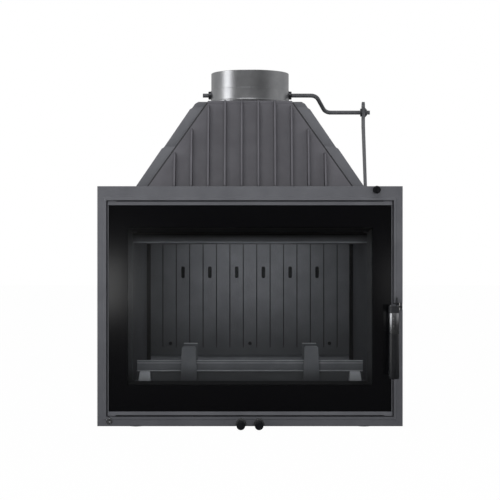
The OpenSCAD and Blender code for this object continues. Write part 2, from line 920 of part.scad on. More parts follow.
module hearth_floor() {
  color(liner_grey) placed() difference() {
    union() {
      slab(body_w - 2 * wall_t - 2 * slip, rear_y - plate_back, floor_t, plate_back, floor_z - floor_t);
      slab(2 * lining_rear_x, rear_t, rear_z - floor_z, rear_lining_y + upstand_back, floor_z);
    }
    slab(grate_w, grate_d, rebate + over, grate_y, floor_z - rebate);
    slab(grate_w - 2 * ledge, grate_d - 2 * ledge, floor_t + over, grate_y + ledge, floor_z - floor_t - over);
  }
}

module fire_grate() {
  pitch = (grate_w - 2 * grate_rim) / grate_slots;
  thick = rebate + grate_proud;
  color(liner_grey) placed() difference() {
    slab(grate_w - 2 * slip, grate_d - 2 * slip, thick, grate_y + slip, floor_z - rebate);
    for (i = [0 : grate_slots - 1])
      brick((i + 0.5 - grate_slots / 2) * pitch - grate_slot_w / 2, grate_y + grate_rim,
        floor_z - rebate - over, grate_slot_w, grate_d - 2 * grate_rim, thick + 2 * over);
  }
}

module ash_shelf() {
  long = shelf_back - plate_back;
  color(cast_grey) placed() {
    slab(shelf_w, long, shelf_t, plate_back, shelf_z);
    both() brick(shelf_w / 2 - shelf_t, plate_back, base_top, shelf_t, long, floor_z - floor_t - base_top);
  }
}

module ash_pan() {
  color(steel_grey) placed() {
    difference() {
      slab(pan_w, pan_d, pan_h, pan_y, shelf_z + shelf_t);
      slab(pan_w - 2 * pan_wall, pan_d - 2 * pan_wall, pan_h, pan_y + pan_wall, shelf_z + shelf_t + pan_wall);
    }
    slab(pan_lip_w, pan_lip_d, pan_wall, pan_y - pan_lip_d, shelf_z + shelf_t + pan_h - pan_wall);
  }
}

// Front upright of the log guard
module guard_post() {
  half = post_w / 2;
  half_top = half * post_top_share;
  top = floor_z + post_h;
  through(post_t, guard_y - post_t) polygon([
    [post_x - half, floor_z], [post_x + half, floor_z], [post_x + half_top, top - post_corner],
    [post_x + half_top - post_corner, top], [post_x - half_top + post_corner, top],
    [post_x - half_top, top - post_corner]]);
}

module log_guard() {
  top = floor_z + guard_h;
  low = floor_z + guard_foot;
  pad_w = post_w * post_top_share;
  color(liner_grey) placed() {
    slab(guard_w, guard_t - guard_apron, guard_h, guard_y + guard_apron, floor_z);
    slab(guard_w, guard_t, guard_bead, guard_y, top - guard_bead);
    slab(guard_w, guard_t - guard_step, top - low, guard_y + guard_step, low);
    slab(guard_w, guard_t, guard_bead_low, guard_y, low);
    both() guard_post();
    both() brick(post_x - pad_w / 2, guard_y, low, pad_w, guard_step, guard_h - guard_foot);
    both() brick(post_x - pad_w / 2, guard_y, floor_z, pad_w, guard_apron, guard_foot);
  }
}

module guard_back_plates() {
  color(liner_grey) placed() both()
    brick(post_x - back_shift - post_w * post_top_share / 2, guard_y + guard_t + back_gap, floor_z,
      post_w * post_top_share, back_t, post_h + back_rise);
}

module guard_end_blocks() {
  back = guard_y + guard_apron;
  color(cast_grey) placed() both() intersection() {
    through(body_d, 0) polygon([
      [end_x - end_w / 2, floor_z], [end_x + end_w / 2, floor_z],
      [end_x + end_top_w / 2, floor_z + guard_foot], [end_x - end_top_w / 2, floor_z + guard_foot]]);
    across(body_w, 0) polygon([
      [guard_y - end_out, floor_z], [back, floor_z], [back, floor_z + guard_foot],
      [guard_y - end_out_top, floor_z + guard_foot]]);
  }
}

module rod_bushes() {
  color(steel_grey) placed() both() difference() {
    union() {
      bar_y(bush_d / 2, air_x, -bush_t, air_z, bush_t);
      bar_y(barrel_r, air_x, 0, air_z, face_t);
    }
    bar_y(air_rod_r + fit, air_x, -bush_t - over, air_z, bush_t + face_t + 2 * over);
  }
}

// Rails that hold the shutters up against the base plate
module shutter_rails() {
  rail_h = shutter_t + shutter_gap + slip;
  rail_d = shutter_d + air_travel;
  rail_y = shutter_y - air_travel;
  inner = air_x - shutter_w / 2 - shutter_gap;
  outer = air_x + shutter_w / 2 + shutter_gap;
  color(steel_grey) placed() {
    slab(2 * inner, rail_d, rail_h, rail_y, plate_low - rail_h);
    slab(2 * (inner + rail_lap), rail_d, rail_t, rail_y, plate_low - rail_h - rail_t);
    both() brick(outer, rail_y, plate_low - rail_h, rail_lap, rail_d, rail_h);
    both() brick(outer - rail_lap, rail_y, plate_low - rail_h - rail_t, 2 * rail_lap, rail_d, rail_t);
  }
}

module levelling_feet() {
  color(steel_grey) placed() at_feet() {
    bar_z(foot_r, 0, 0, -foot_gap, foot_pad_h);
    bar_z(foot_stud_r, 0, 0, foot_pad_h - foot_gap, foot_stud_l);
  }
}

module foot_nuts() {
  color(steel_grey) placed() at_feet() difference() {
    translate([0, 0, plate_low - foot_nut_h]) cylinder(r = foot_nut_r, h = foot_nut_h, $fn = 6);
    bar_z(foot_stud_r + fit, 0, 0, plate_low - foot_nut_h - over, foot_nut_h + 2 * over);
  }
}

module hinge_pins() {
  thrust_t = door_gap_low - block_proud - pin_play;
  color(steel_grey) placed() {
    bar_z(hinge_r, hinge_x, hinge_y, glass_top, opening_top + pin_in - glass_top);
    bar_z(hinge_r, hinge_x, hinge_y, opening_low - pin_in, glass_low - opening_low + pin_in);
    bar_z(thrust_r, hinge_x, hinge_y, opening_low, thrust_t);
  }
}

// Door rail with its part of the ring, whose outer edge is at z and inner edge towards dir
module door_rail(z, ring_z, block_z) {
  placed() difference() {
    union() {
      slab(door_w, door_t, rail_h, door_set, z);
      slab(door_w - 2 * ring_w, door_back - ring_y, ring_w, ring_y, ring_z);
      both() brick(door_w / 2 - block_l, door_set, block_z, block_l, door_t, rail_h + block_proud);
    }
    bar_z(hinge_r + fit, hinge_x, hinge_y, block_z - over, rail_h + block_proud + 2 * over);
  }
}

module door_top_rail() {
  color(cast_grey) door_rail(glass_top, door_top - ring_w, glass_top);
}

module door_bottom_rail() {
  color(cast_grey) door_rail(door_low, door_low, door_low - block_proud);
}

module door_stile() {
  placed() {
    brick(door_w / 2 - skin_t, glass_y, glass_low, skin_t, door_back - glass_y, glass_top - glass_low);
    brick(door_w / 2 - ring_w, ring_y, glass_low, ring_w, door_back - ring_y, glass_top - glass_low);
  }
}

module door_left_stile() {
  color(cast_grey) mirror([1, 0, 0]) door_stile();
}

module door_right_stile() {
  color(cast_grey) difference() {
    door_stile();
    placed() bar_x(ball_case_r + fit, door_w / 2 - ball_case_l, ball_y, ball_z, ball_case_l + over);
  }
}

module door_glass() {
  color(black_grey, 0.4) placed()
    slab(glass_w, glass_t, glass_top - glass_low - 2 * glass_play, glass_y, glass_low + glass_play);
}

module glass_tape() {
  high = glass_top - glass_low - 2 * glass_play;
  color(rope_grey) placed()
    frame_ring(glass_w, high, tape_t, glass_y + glass_t, glass_low + glass_play, tape_w);
}

module door_gasket() {
  low = door_low + rope_end;
  deep = frame_d - door_back - rope_gap;
  color(rope_grey) placed()
    frame_ring(door_w - 2 * rope_side, door_top - rope_end - low, deep, door_back, low, rope_w);
}

module ball_catch() {
  color(steel_grey) placed() {
    bar_x(ball_case_r, door_w / 2 - ball_case_l, ball_y, ball_z, ball_case_l);
    translate([opening_w / 2 - slip - ball_r, ball_y, ball_z]) sphere(r = ball_r);
  }
}

module handle_bracket() {
  color(cast_grey) placed() difference() {
    union() {
      brick(door_w / 2, root_y, notch_low + slip, root_t, root_d, notch_h - 2 * slip);
      brick(door_w / 2, tongue_front, tongue_low, tongue_l, tongue_back - tongue_front, tongue_h);
      brick(ear_x, neck_front, tongue_low, door_w / 2 + tongue_l - ear_x, tongue_back - neck_front, tongue_h);
      brick(ear_x, ear_front, ear_low, ear_t, ear_back - ear_front, ear_h);
    }
    bar_x(pivot_r + fit, ear_x - over, pivot_y, pivot_z, ear_t + 2 * over);
  }
}

// Arm of the lever from its pivot to the handle
module lever_arm() {
  brick(lever_x, -grip_out, grip_top - slip - lever_h, lever_w, grip_out + pivot_y, lever_h);
}

module handle_lever() {
  color(black_grey) placed() difference() {
    union() {
      lever_arm();
      bar_x(lever_r, lever_x, pivot_y, pivot_z, lever_w);
      bar_z(stud_r, grip_x, -grip_out, stud_low, grip_top - slip - stud_low);
    }
    bar_x(pivot_r + fit, lever_x - over, pivot_y, pivot_z, lever_w + 2 * over);
  }
}

module handle_pin() {
  color(steel_grey) placed() {
    bar_x(pivot_r, lever_x - slip, pivot_y, pivot_z, ear_x + ear_t + slip - lever_x + slip);
    bar_x(pivot_r + over, ear_x + ear_t + slip, pivot_y, pivot_z, ear_t);
    bar_x(pivot_r + over, lever_x - slip - ear_t, pivot_y, pivot_z, ear_t);
  }
}

module handle_cap() {
  color(black_grey) placed() difference() {
    bar_z(grip_d / 2, grip_x, -grip_out, grip_top - cap_h, cap_h);
    lever_arm();
    bar_z(stud_r, grip_x, -grip_out, grip_top - cap_h - over, cap_h + over - slip);
  }
}

module handle_sleeve() {
  z = grip_top - cap_h - sleeve_h;
  color(steel_grey) placed() difference() {
    bar_z(grip_d / 2 - slip, grip_x, -grip_out, z, sleeve_h);
    bar_z(stud_r + fit, grip_x, -grip_out, z - over, sleeve_h + 2 * over);
  }
}

module handle_grip() {
  z = grip_top - cap_h - sleeve_h - grip_h;
  r = grip_d / 2;
  color(black_grey) placed() translate([grip_x, -grip_out, z]) difference() {
    rotate_extrude() {
      polygon([[0, 0], [r - knob_edge, 0], [r, knob_edge], [r - slip, grip_h], [0, grip_h]]);
    }
    bar_z(stud_r + fit, 0, 0, stud_low - z, grip_h);
  }
}

// One bend of the shaft
module shaft_bend() {
  rotate_extrude(angle = crank_bend) translate([crank_bend_r, 0]) circle(r = shaft_r + bend_swell);
}

// Shaft with the crank bent out of it, the crank pin standing back and down. The bends are a
// little fuller than the straight runs, which end inside them.
module damper_shaft() {
  left = collar_r_out + shaft_stub;
  mid_x = crank_x + crank_bend_r * sin(crank_bend);
  mid_y = crank_bend_r * (1 - cos(crank_bend));
  turn_x = mid_x + crank_run * cos(crank_bend);
  turn_y = mid_y + crank_run * sin(crank_bend);
  pin_x = turn_x + crank_bend_r * sin(crank_bend);
  pin_end = link_bar_x + crank_end;
  color(black_grey) placed() translate([0, collar_y, shaft_z]) rotate([-crank_lean, 0, 0]) {
    bar_x(shaft_r, -left, 0, 0, left + crank_x + over);
    translate([crank_x, crank_bend_r, 0]) rotate([0, 0, -90]) shaft_bend();
    translate([mid_x, mid_y, 0]) rotate([0, 0, crank_bend]) bar_x(shaft_r, -over, 0, 0, crank_run + 2 * over);
    translate([pin_x, turn_y - crank_bend_r * cos(crank_bend), 0]) rotate([0, 0, 90]) shaft_bend();
    bar_x(shaft_r, pin_x - over, crank_r, 0, pin_end - pin_x + over);
  }
}

module damper_plate() {
  color(liner_grey) placed() difference() {
    bar_z(collar_bore - damper_gap, 0, collar_y, shaft_z + shaft_r - over, damper_t);
    bar_x(shaft_r + fit, -collar_d, collar_y, shaft_z, 2 * collar_d);
    bar_z(bypass_r, 0, collar_y - collar_bore / 2, shaft_z, 2 * shaft_d);
  }
}

module damper_clamps() {
  color(steel_grey) placed() both() difference() {
    brick(clamp_x - clamp_w / 2, collar_y - clamp_d / 2, shaft_z - clamp_h,
      clamp_w, clamp_d, clamp_h + shaft_r - over);
    bar_x(shaft_r + fit, clamp_x - clamp_w, collar_y, shaft_z, 2 * clamp_w);
  }
}

// Washer and push nut on the crank pin, either side of the link bar
module crank_nut() {
  washer_x = link_bar_x - link_t / 2 - nut_gap - washer_t;
  nut_x = link_bar_x + link_t / 2 + nut_gap;
  color(black_grey) placed() difference() {
    union() {
      bar_x(washer_r, washer_x, pin_y, pin_z, washer_t);
      translate([nut_x, pin_y, pin_z]) rotate([0, 90, 0]) cylinder(r1 = nut_r, r2 = nut_tip_r, h = nut_l);
    }
    bar_x(shaft_r + fit, washer_x - over, pin_y, pin_z, nut_x + nut_l - washer_x + 2 * over);
  }
}

module link_bar() {
  left = link_bar_x - link_t / 2;
  head_z = pin_z + link_tip - link_head_r;
  head_low = pin_low - link_slot_r - link_foot_r;
  color(black_grey) placed() {
    difference() {
      across(link_t, left) {
        translate([pin_y, head_z]) circle(r = link_head_r);
        translate([pin_y - link_head_r, head_low]) square([2 * link_head_r, head_z - head_low]);
        polygon([
          [foot_y - link_w / 2, pull_z], [foot_y + link_w / 2, pull_z],
          [pin_y + link_head_r, head_low], [pin_y - link_head_r, head_low]]);
        translate([foot_y, pull_z]) circle(r = link_foot_r);
      }
      across(link_t + 2 * over, left - over) {
        translate([pin_y, pin_z]) circle(r = link_slot_r);
        translate([pin_y, pin_low]) circle(r = link_slot_r);
        translate([pin_y - link_slot_r, pin_low]) square([2 * link_slot_r, pin_z - pin_low]);
      }
    }
    difference() {
      brick(left + link_t, foot_y - link_lug_d / 2, pull_z - link_lug_h / 2,
        link_lug_w - link_t / 2, link_lug_d, link_lug_h);
      pull_bore(foot_y - link_lug_d, 2 * link_lug_d);
    }
  }
}

module pull_rod() {
  start = -pull_knob_gap - pull_knob_hole;
  color(steel_grey) placed() bar_y(pull_r, pull_x, start, pull_z, foot_y + pull_end - start);
}

module pull_knob() {
  color(black_grey) placed() difference() {
    translate([pull_x, -pull_knob_gap - pull_knob_l, pull_z]) rotate([-90, 0, 0]) rotate_extrude() polygon([
      [0, 0], [pull_knob_d / 2 - knob_edge, 0], [pull_knob_d / 2, knob_edge],
      [pull_knob_d / 2, pull_knob_l - knob_edge], [pull_knob_d / 3, pull_knob_l], [0, pull_knob_l]]);
    bar_y(pull_r + fit, pull_x, -pull_knob_gap - pull_knob_hole, pull_z, pull_knob_hole + over);
  }
}

// Rod, knob and shutter of one air control
module air_rod() {
  start = -bush_t - air_knob_gap - air_knob_hole;
  placed() bar_y(air_rod_r, air_x, start, air_z, air_rod_l - start);
}

module air_knob() {
  back = -bush_t - air_knob_gap;
  r = air_knob_d / 2;
  placed() difference() {
    translate([air_x, back - air_knob_l, air_z]) rotate([-90, 0, 0]) rotate_extrude() polygon([
      [0, 0], [r - knob_edge, 0], [r, knob_edge], [r - slip, air_knob_l - over],
      [r - slip - over, air_knob_l], [0, air_knob_l]]);
    bar_y(air_rod_r + fit, air_x, back - air_knob_hole, air_z, air_knob_hole + over);
  }
}

module air_shutter() {
  top = plate_low - shutter_gap;
  low = air_z - air_rod_r - over;
  placed() difference() {
    union() {
      brick(air_x - shutter_w / 2, shutter_y, top - shutter_t, shutter_w, shutter_d, shutter_t);
      brick(air_x - shutter_lug / 2, shutter_y + (shutter_d - shutter_lug) / 2, low,
        shutter_lug, shutter_lug, top - low);
    }
    bar_y(air_rod_r + fit, air_x, shutter_y - over, air_z, shutter_d + 2 * over);
  }
}

module air_rod_left() {
  color(steel_grey) mirror([1, 0, 0]) air_rod();
}

module air_rod_right() {
  color(steel_grey) air_rod();
}

module air_knob_left() {
  color(black_grey) mirror([1, 0, 0]) air_knob();
}

module air_knob_right() {
  color(black_grey) air_knob();
}

module air_shutter_left() {
  color(steel_grey) mirror([1, 0, 0]) air_shutter();
}

module air_shutter_right() {
  color(steel_grey) air_shutter();
}

facade_frame();
corner_screw();
front_plate();
frame_screws();
side_wall_left();
side_wall_right();
rear_wall();
base_plate();
hood_flange();
hood_bolts();
hood_front();
hood_left();
hood_right();
hood_rear();
hood_top();
flue_collar();
side_lining_left();
side_lining_right();
rear_lining();
lining_screws();
baffle();
hearth_floor();
fire_grate();
ash_shelf();
ash_pan();
log_guard();
guard_back_plates();
guard_end_blocks();
rod_bushes();
shutter_rails();
levelling_feet();
foot_nuts();
hinge_pins();
door_top_rail();
door_bottom_rail();
door_left_stile();
door_right_stile();
door_glass();
glass_tape();
door_gasket();
ball_catch();
handle_bracket();
handle_lever();
handle_pin();
handle_cap();
handle_sleeve();
handle_grip();
damper_shaft();
damper_plate();
damper_clamps();
crank_nut();
link_bar();
pull_rod();
pull_knob();
air_rod_left();
air_knob_left();
air_shutter_left();
air_rod_right();
air_knob_right();
air_shutter_right();
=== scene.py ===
import bpy
import bmesh
import json
import math
from mathutils import Matrix, Vector


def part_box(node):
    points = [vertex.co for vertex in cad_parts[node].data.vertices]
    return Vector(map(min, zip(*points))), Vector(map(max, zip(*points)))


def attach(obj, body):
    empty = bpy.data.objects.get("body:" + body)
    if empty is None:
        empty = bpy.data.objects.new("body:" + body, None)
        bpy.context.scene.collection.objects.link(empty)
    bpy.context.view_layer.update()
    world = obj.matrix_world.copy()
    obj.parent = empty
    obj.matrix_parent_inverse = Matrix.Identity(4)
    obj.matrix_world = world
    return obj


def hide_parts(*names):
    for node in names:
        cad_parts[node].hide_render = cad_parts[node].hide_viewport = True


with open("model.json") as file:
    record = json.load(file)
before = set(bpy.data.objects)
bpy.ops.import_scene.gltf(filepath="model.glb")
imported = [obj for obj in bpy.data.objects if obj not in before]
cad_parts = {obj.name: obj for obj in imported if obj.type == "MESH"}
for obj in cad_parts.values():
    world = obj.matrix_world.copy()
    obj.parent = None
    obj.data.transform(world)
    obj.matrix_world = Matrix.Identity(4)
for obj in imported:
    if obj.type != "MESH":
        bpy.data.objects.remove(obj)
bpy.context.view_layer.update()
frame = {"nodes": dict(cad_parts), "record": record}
mm = 0.001

# The photograph's view: pixels of its side and of its focal length, the rest in mm
shot = {"pixels": 500, "focal": 1481, "sensor": 36, "distance": 3441, "height": 417.6}

beadProud = 1.2     # the frame's bead stands this far in front of its face
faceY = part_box("facade_frame")[0][1] + beadProud * mm
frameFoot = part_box("facade_frame")[0][2]


def at(x, depth, height):
    # a place given in mm: across, back from the frame's face and up from its lower edge
    return Vector((x * mm, faceY + depth * mm, frameFoot + height * mm))


def hexColour(code):
    parts = [int(code[i:i + 2], 16) / 255 for i in (1, 3, 5)]
    return [p / 12.92 if p <= 0.04045 else ((p + 0.055) / 1.055) ** 2.4 for p in parts] + [1]


def addNode(tree, kind, inputs=None, **settings):
    # inputs take a value, a socket, or a node, which is linked by its first output in use
    node = tree.nodes.new(kind)
    for name, value in settings.items():
        setattr(node, name, value)
    for name, value in (inputs or {}).items():
        if isinstance(value, bpy.types.Node):
            value = next(s for s in value.outputs if s.enabled)
        if isinstance(value, bpy.types.NodeSocket):
            tree.links.new(value, node.inputs[name])
        else:
            node.inputs[name].default_value = value
    return node


def newMaterial(name):
    material = bpy.data.materials.new(name)
    material.use_nodes = True
    material.node_tree.nodes.clear()
    return material, material.node_tree


def ownPlace(tree):
    # three sockets with the place on the piece: across, back and up
    place = addNode(tree, "ShaderNodeTexCoord")
    return addNode(tree, "ShaderNodeSeparateXYZ", {"Vector": place.outputs["Object"]}).outputs


noiseSpan = {"From Min": 0.3, "From Max": 0.7}      # nearly all of a noise's values lie in between


def grainOn(tree, sizeMm, stretch=(1, 1, 1), detail=3, rough=0.55):
    # noise whose grains are about sizeMm across, on the piece's own millimetres
    place = addNode(tree, "ShaderNodeTexCoord")
    drawn = addNode(tree, "ShaderNodeMapping", {"Vector": place.outputs["Object"], "Scale": stretch})
    return addNode(tree, "ShaderNodeTexNoise", {
        "Vector": drawn, "Scale": 1 / (sizeMm * mm), "Detail": detail, "Roughness": rough})


def toneOf(tree, pattern, dark, light):
    # a colour that wanders between two tones as the pattern does
    share = addNode(tree, "ShaderNodeMapRange", {**noiseSpan, "Value": pattern, "To Min": 0, "To Max": 1})
    return addNode(tree, "ShaderNodeMix", {
        "Factor": share, "A": hexColour(dark), "B": hexColour(light)}, data_type="RGBA")


def setSurface(tree, sockets, gloss, reliefs):
    # gloss is (pattern, smoothest, roughest), and each relief is (pattern, strength, depth in mm)
    pattern, smooth, rough = gloss
    patchy = addNode(tree, "ShaderNodeMapRange", {
        **noiseSpan, "Value": pattern, "To Min": smooth, "To Max": rough})
    normal = {}
    for pattern, strength, depthMm in reliefs:
        normal = {"Normal": addNode(tree, "ShaderNodeBump", {
            "Height": pattern, "Strength": strength, "Distance": depthMm * mm, **normal})}
    shader = addNode(tree, "ShaderNodeBsdfPrincipled", {**sockets, **normal, "Roughness": patchy})
    addNode(tree, "ShaderNodeOutputMaterial", {"Surface": shader})


# How softly each layer over the paint ends, in mm, and how much of the paint it covers at most. A flank is
# told by how far its face looks sideways, from 0 to 1, and a band of painted light or shade lets some of the
# paint through.
layerLook = {
    "shadeBehindSoft": 0.2, "shadeBehindMost": 0.85, "jointSoft": 0.3, "jointMost": 0.9, "flankFrom": 0.55,
    "flankTo": 0.9, "flankMost": 0.88, "patchLeast": 0.5, "patchMost": 0.9}


def shadeBehindShare(tree, shadeBehind):
    # painted shade lies behind a depth where way is 1, and in front of it where way is -1
    edge, soft = at(0, shadeBehind["depth"], 0).y, layerLook["shadeBehindSoft"] * mm * shadeBehind["way"]
    return addNode(tree, "ShaderNodeMapRange", {
        "Value": ownPlace(tree)[1], "From Min": edge - soft, "From Max": edge + soft,
        "To Min": 0, "To Max": layerLook["shadeBehindMost"]})


def fadeShare(tree, fade):
    # the shade is strongest at one place along its axis and has gone at the other
    full, gone = [at(v, v, v)[fade["axis"]] for v in (fade["full"], fade["gone"])]
    return addNode(tree, "ShaderNodeMapRange", {
        "Value": ownPlace(tree)[fade["axis"]], "From Min": full, "From Max": gone,
        "To Min": fade["most"], "To Max": 0}, interpolation_type="SMOOTHSTEP")


def jointShare(tree, joint):
    # a line of painted shade, of one width, inside the slanting edge from foot to top, on both sides alike
    foot, top = [at(x, 0, height) for x, height in (joint["foot"], joint["top"])]
    outward = Vector((top.z - foot.z, 0, foot.x - top.x)).normalized()
    edge, soft = foot.dot(outward) - joint["wide"] * mm, layerLook["jointSoft"] * mm
    place = ownPlace(tree)
    side = addNode(tree, "ShaderNodeMath", {0: place[0]}, operation="ABSOLUTE")
    high = addNode(tree, "ShaderNodeMath", {0: place[2], 1: outward.z}, operation="MULTIPLY")
    reach = addNode(tree, "ShaderNodeMath", {0: side, 1: outward.x, 2: high}, operation="MULTIPLY_ADD")
    return addNode(tree, "ShaderNodeMapRange", {
        "Value": reach, "From Min": edge - soft, "From Max": edge + soft,
        "To Min": 0, "To Max": layerLook["jointMost"]})


def flankShare(tree):
    # painted shade goes on the flanks of the fins, the faces that look to one side
    surface = addNode(tree, "ShaderNodeNewGeometry")
    facing = addNode(tree, "ShaderNodeSeparateXYZ", {"Vector": surface.outputs["Normal"]})
    sideways = addNode(tree, "ShaderNodeMath", {0: facing}, operation="ABSOLUTE")
    return addNode(tree, "ShaderNodeMapRange", {
        "Value": sideways, "From Min": layerLook["flankFrom"], "From Max": layerLook["flankTo"],
        "To Min": 0, "To Max": layerLook["flankMost"]})


def bandShare(tree, band, patches):
    # a row of painted light or shade between two heights, behind a depth, broken up in patches
    place = ownPlace(tree)
    middle, half = (band["low"] + band["high"]) / 2, (band["high"] - band["low"]) / 2
    row = addNode(tree, "ShaderNodeMath", {0: place[2], 1: at(0, 0, middle).z, 2: half * mm},
                  operation="COMPARE")
    behind = addNode(tree, "ShaderNodeMath", {0: place[1], 1: at(0, band["behind"], 0).y},
                     operation="GREATER_THAN")
    onIt = addNode(tree, "ShaderNodeMath", {0: row, 1: behind}, operation="MULTIPLY")
    patchy = addNode(tree, "ShaderNodeMapRange", {
        **noiseSpan, "Value": patches, "To Min": layerLook["patchLeast"], "To Max": layerLook["patchMost"]})
    return addNode(tree, "ShaderNodeMath", {0: onIt, 1: patchy}, operation="MULTIPLY")


# Sizes in mm; the grain is drawn coarser than the mould's sand, so that it shows
sandCast = {
    "cloudMm": 46, "grainMm": 1.3, "grainDeep": 0.04, "pitsPerGrain": 4, "fleck": 0.16, "glossSpread": 0.08,
    "pitRelief": 0.2, "grainRelief": 0.4}


# Sand-cast grey iron under sprayed heat-proof paint: a fine grain from the mould's sand, a soft cloudy
# tone where the paint lies thicker, and hardly any gloss. Painted shade darkens it on one side of a depth,
# fades are painted shade that grows slowly along an axis, and a joint is a line of painted shade along the
# slanting edges. The flanks of the fins get painted shade, and bands of painted light or shade cross a
# casting.
def sandCastPaint(name, light, dark, roughness, grainMm=sandCast["grainMm"], depthMm=sandCast["grainDeep"],
                  shadeBehind=None, fades=(), joint=None, flanks=None, bands=()):
    material, tree = newMaterial(name)
    cloud = grainOn(tree, sandCast["cloudMm"], detail=4)
    grain = grainOn(tree, grainMm, detail=5, rough=0.7)
    pits = grainOn(tree, grainMm * sandCast["pitsPerGrain"], detail=2)
    fleck = addNode(tree, "ShaderNodeMapRange", {
        **noiseSpan, "Value": grain, "To Min": 0, "To Max": sandCast["fleck"]})
    layers = [(fleck, dark)]
    if shadeBehind:
        layers.append((shadeBehindShare(tree, shadeBehind), shadeBehind["colour"]))
    layers += [(fadeShare(tree, fade), fade["colour"]) for fade in fades]
    if joint:
        layers.append((jointShare(tree, joint), joint["colour"]))
    if flanks:
        layers.append((flankShare(tree), flanks))
    layers += [(bandShare(tree, band, cloud), band["colour"]) for band in bands]
    colour = toneOf(tree, cloud, dark, light)
    for share, tint in layers:
        colour = addNode(tree, "ShaderNodeMix", {
            "Factor": share, "A": colour, "B": hexColour(tint)}, data_type="RGBA")
    spread = sandCast["glossSpread"]
    setSurface(tree, {"Base Color": colour, "Metallic": 0, "IOR": 1.45},
               (grain, roughness - spread, roughness + spread),
               ((pits, sandCast["pitRelief"], depthMm * 2), (grain, sandCast["grainRelief"], depthMm)))
    return material


steel = {"cloudMm": 30, "smoother": 0.02, "rougher": 0.03, "relief": 0.3}


# Rolled or turned steel: clear metal with fine lines left by the rolls or the lathe along one direction,
# about 1 mm wide, which is coarser than real ones, so that they show
def linedSteel(name, light, dark, roughness, lineMm, stretch=(1, 1, 1), depthMm=0.02):
    material, tree = newMaterial(name)
    lines = grainOn(tree, lineMm, stretch=stretch, detail=4, rough=0.6)
    cloud = grainOn(tree, steel["cloudMm"], detail=3)
    setSurface(tree, {"Base Color": toneOf(tree, cloud, dark, light), "Metallic": 1},
               (lines, roughness - steel["smoother"], roughness + steel["rougher"]),
               ((lines, steel["relief"], depthMm),))
    return material


stovePaint = {
    "peelMm": 2.4, "peelDeep": 0.05, "peelRelief": 0.2, "cloudMm": 25, "smoother": 0.04, "rougher": 0.05}


# Satin stove paint on steel: smooth, with the slight orange peel of a sprayed coat
def satinStovePaint(name, light, dark, roughness):
    material, tree = newMaterial(name)
    peel = grainOn(tree, stovePaint["peelMm"], detail=2)
    cloud = grainOn(tree, stovePaint["cloudMm"], detail=3)
    setSurface(tree, {"Base Color": toneOf(tree, cloud, dark, light), "Metallic": 0, "IOR": 1.5},
               (cloud, roughness - stovePaint["smoother"], roughness + stovePaint["rougher"]),
               ((peel, stovePaint["peelRelief"], stovePaint["peelDeep"]),))
    return material


moulding = {"flowMm": 9, "flowDeep": 0.03, "flowRelief": 0.15, "glossSpread": 0.04}


# Moulded phenolic plastic of stove knobs: near black, glossy, with faint flow marks
def mouldedBlack(name, light, dark, roughness, shine=0.5):
    material, tree = newMaterial(name)
    flow = grainOn(tree, moulding["flowMm"], stretch=(1, 0.3, 1), detail=2)
    tone, spread = toneOf(tree, flow, dark, light), moulding["glossSpread"]
    setSurface(tree, {"Base Color": tone, "Metallic": 0, "IOR": 1.55, "Specular IOR Level": shine},
               (flow, roughness - spread, roughness + spread),
               ((flow, moulding["flowRelief"], moulding["flowDeep"]),))
    return material


rope = {"strandMm": 3.77, "strandDeep": 0.6, "relief": 0.8, "slants": (45, -45)}


# Woven glass-fibre rope and tape: dark and matt, with strands that slant both ways
def wovenGlassRope(name, light, dark):
    material, tree = newMaterial(name)
    place = addNode(tree, "ShaderNodeTexCoord")
    strands = []
    for slant in rope["slants"]:
        turned = addNode(tree, "ShaderNodeMapping", {
            "Vector": place.outputs["Object"], "Rotation": (0, math.radians(slant), 0)})
        # twenty radians of the wave fill one unit of its scale
        strands.append(addNode(tree, "ShaderNodeTexWave", {
            "Vector": turned, "Scale": math.tau / (20 * rope["strandMm"] * mm), "Distortion": 1.5,
            "Detail": 2, "Detail Scale": 3}, bands_direction="X").outputs["Fac"])
    weave = addNode(tree, "ShaderNodeMath", {0: strands[0], 1: strands[1]}, operation="MAXIMUM")
    tone = addNode(tree, "ShaderNodeMix", {
        "Factor": weave, "A": hexColour(dark), "B": hexColour(light)}, data_type="RGBA")
    raised = addNode(tree, "ShaderNodeBump", {
        "Height": weave, "Strength": rope["relief"], "Distance": rope["strandDeep"] * mm})
    shader = addNode(tree, "ShaderNodeBsdfPrincipled", {
        "Base Color": tone, "Roughness": 0.9, "Normal": raised})
    addNode(tree, "ShaderNodeOutputMaterial", {"Surface": shader})
    return material


# Clear part of the pane in mm, and the looks of both parts
doorGlass = {
    "left": -284.9, "right": 284.9, "low": 95.4, "top": 462, "soft": 1.5, "tint": "#f1f2f2",
    "print": "#08080a", "roughness": 0.14, "mirror": 0.04, "rippleMm": 60, "rippleDeep": 0.1,
    "ripple": 0.04}


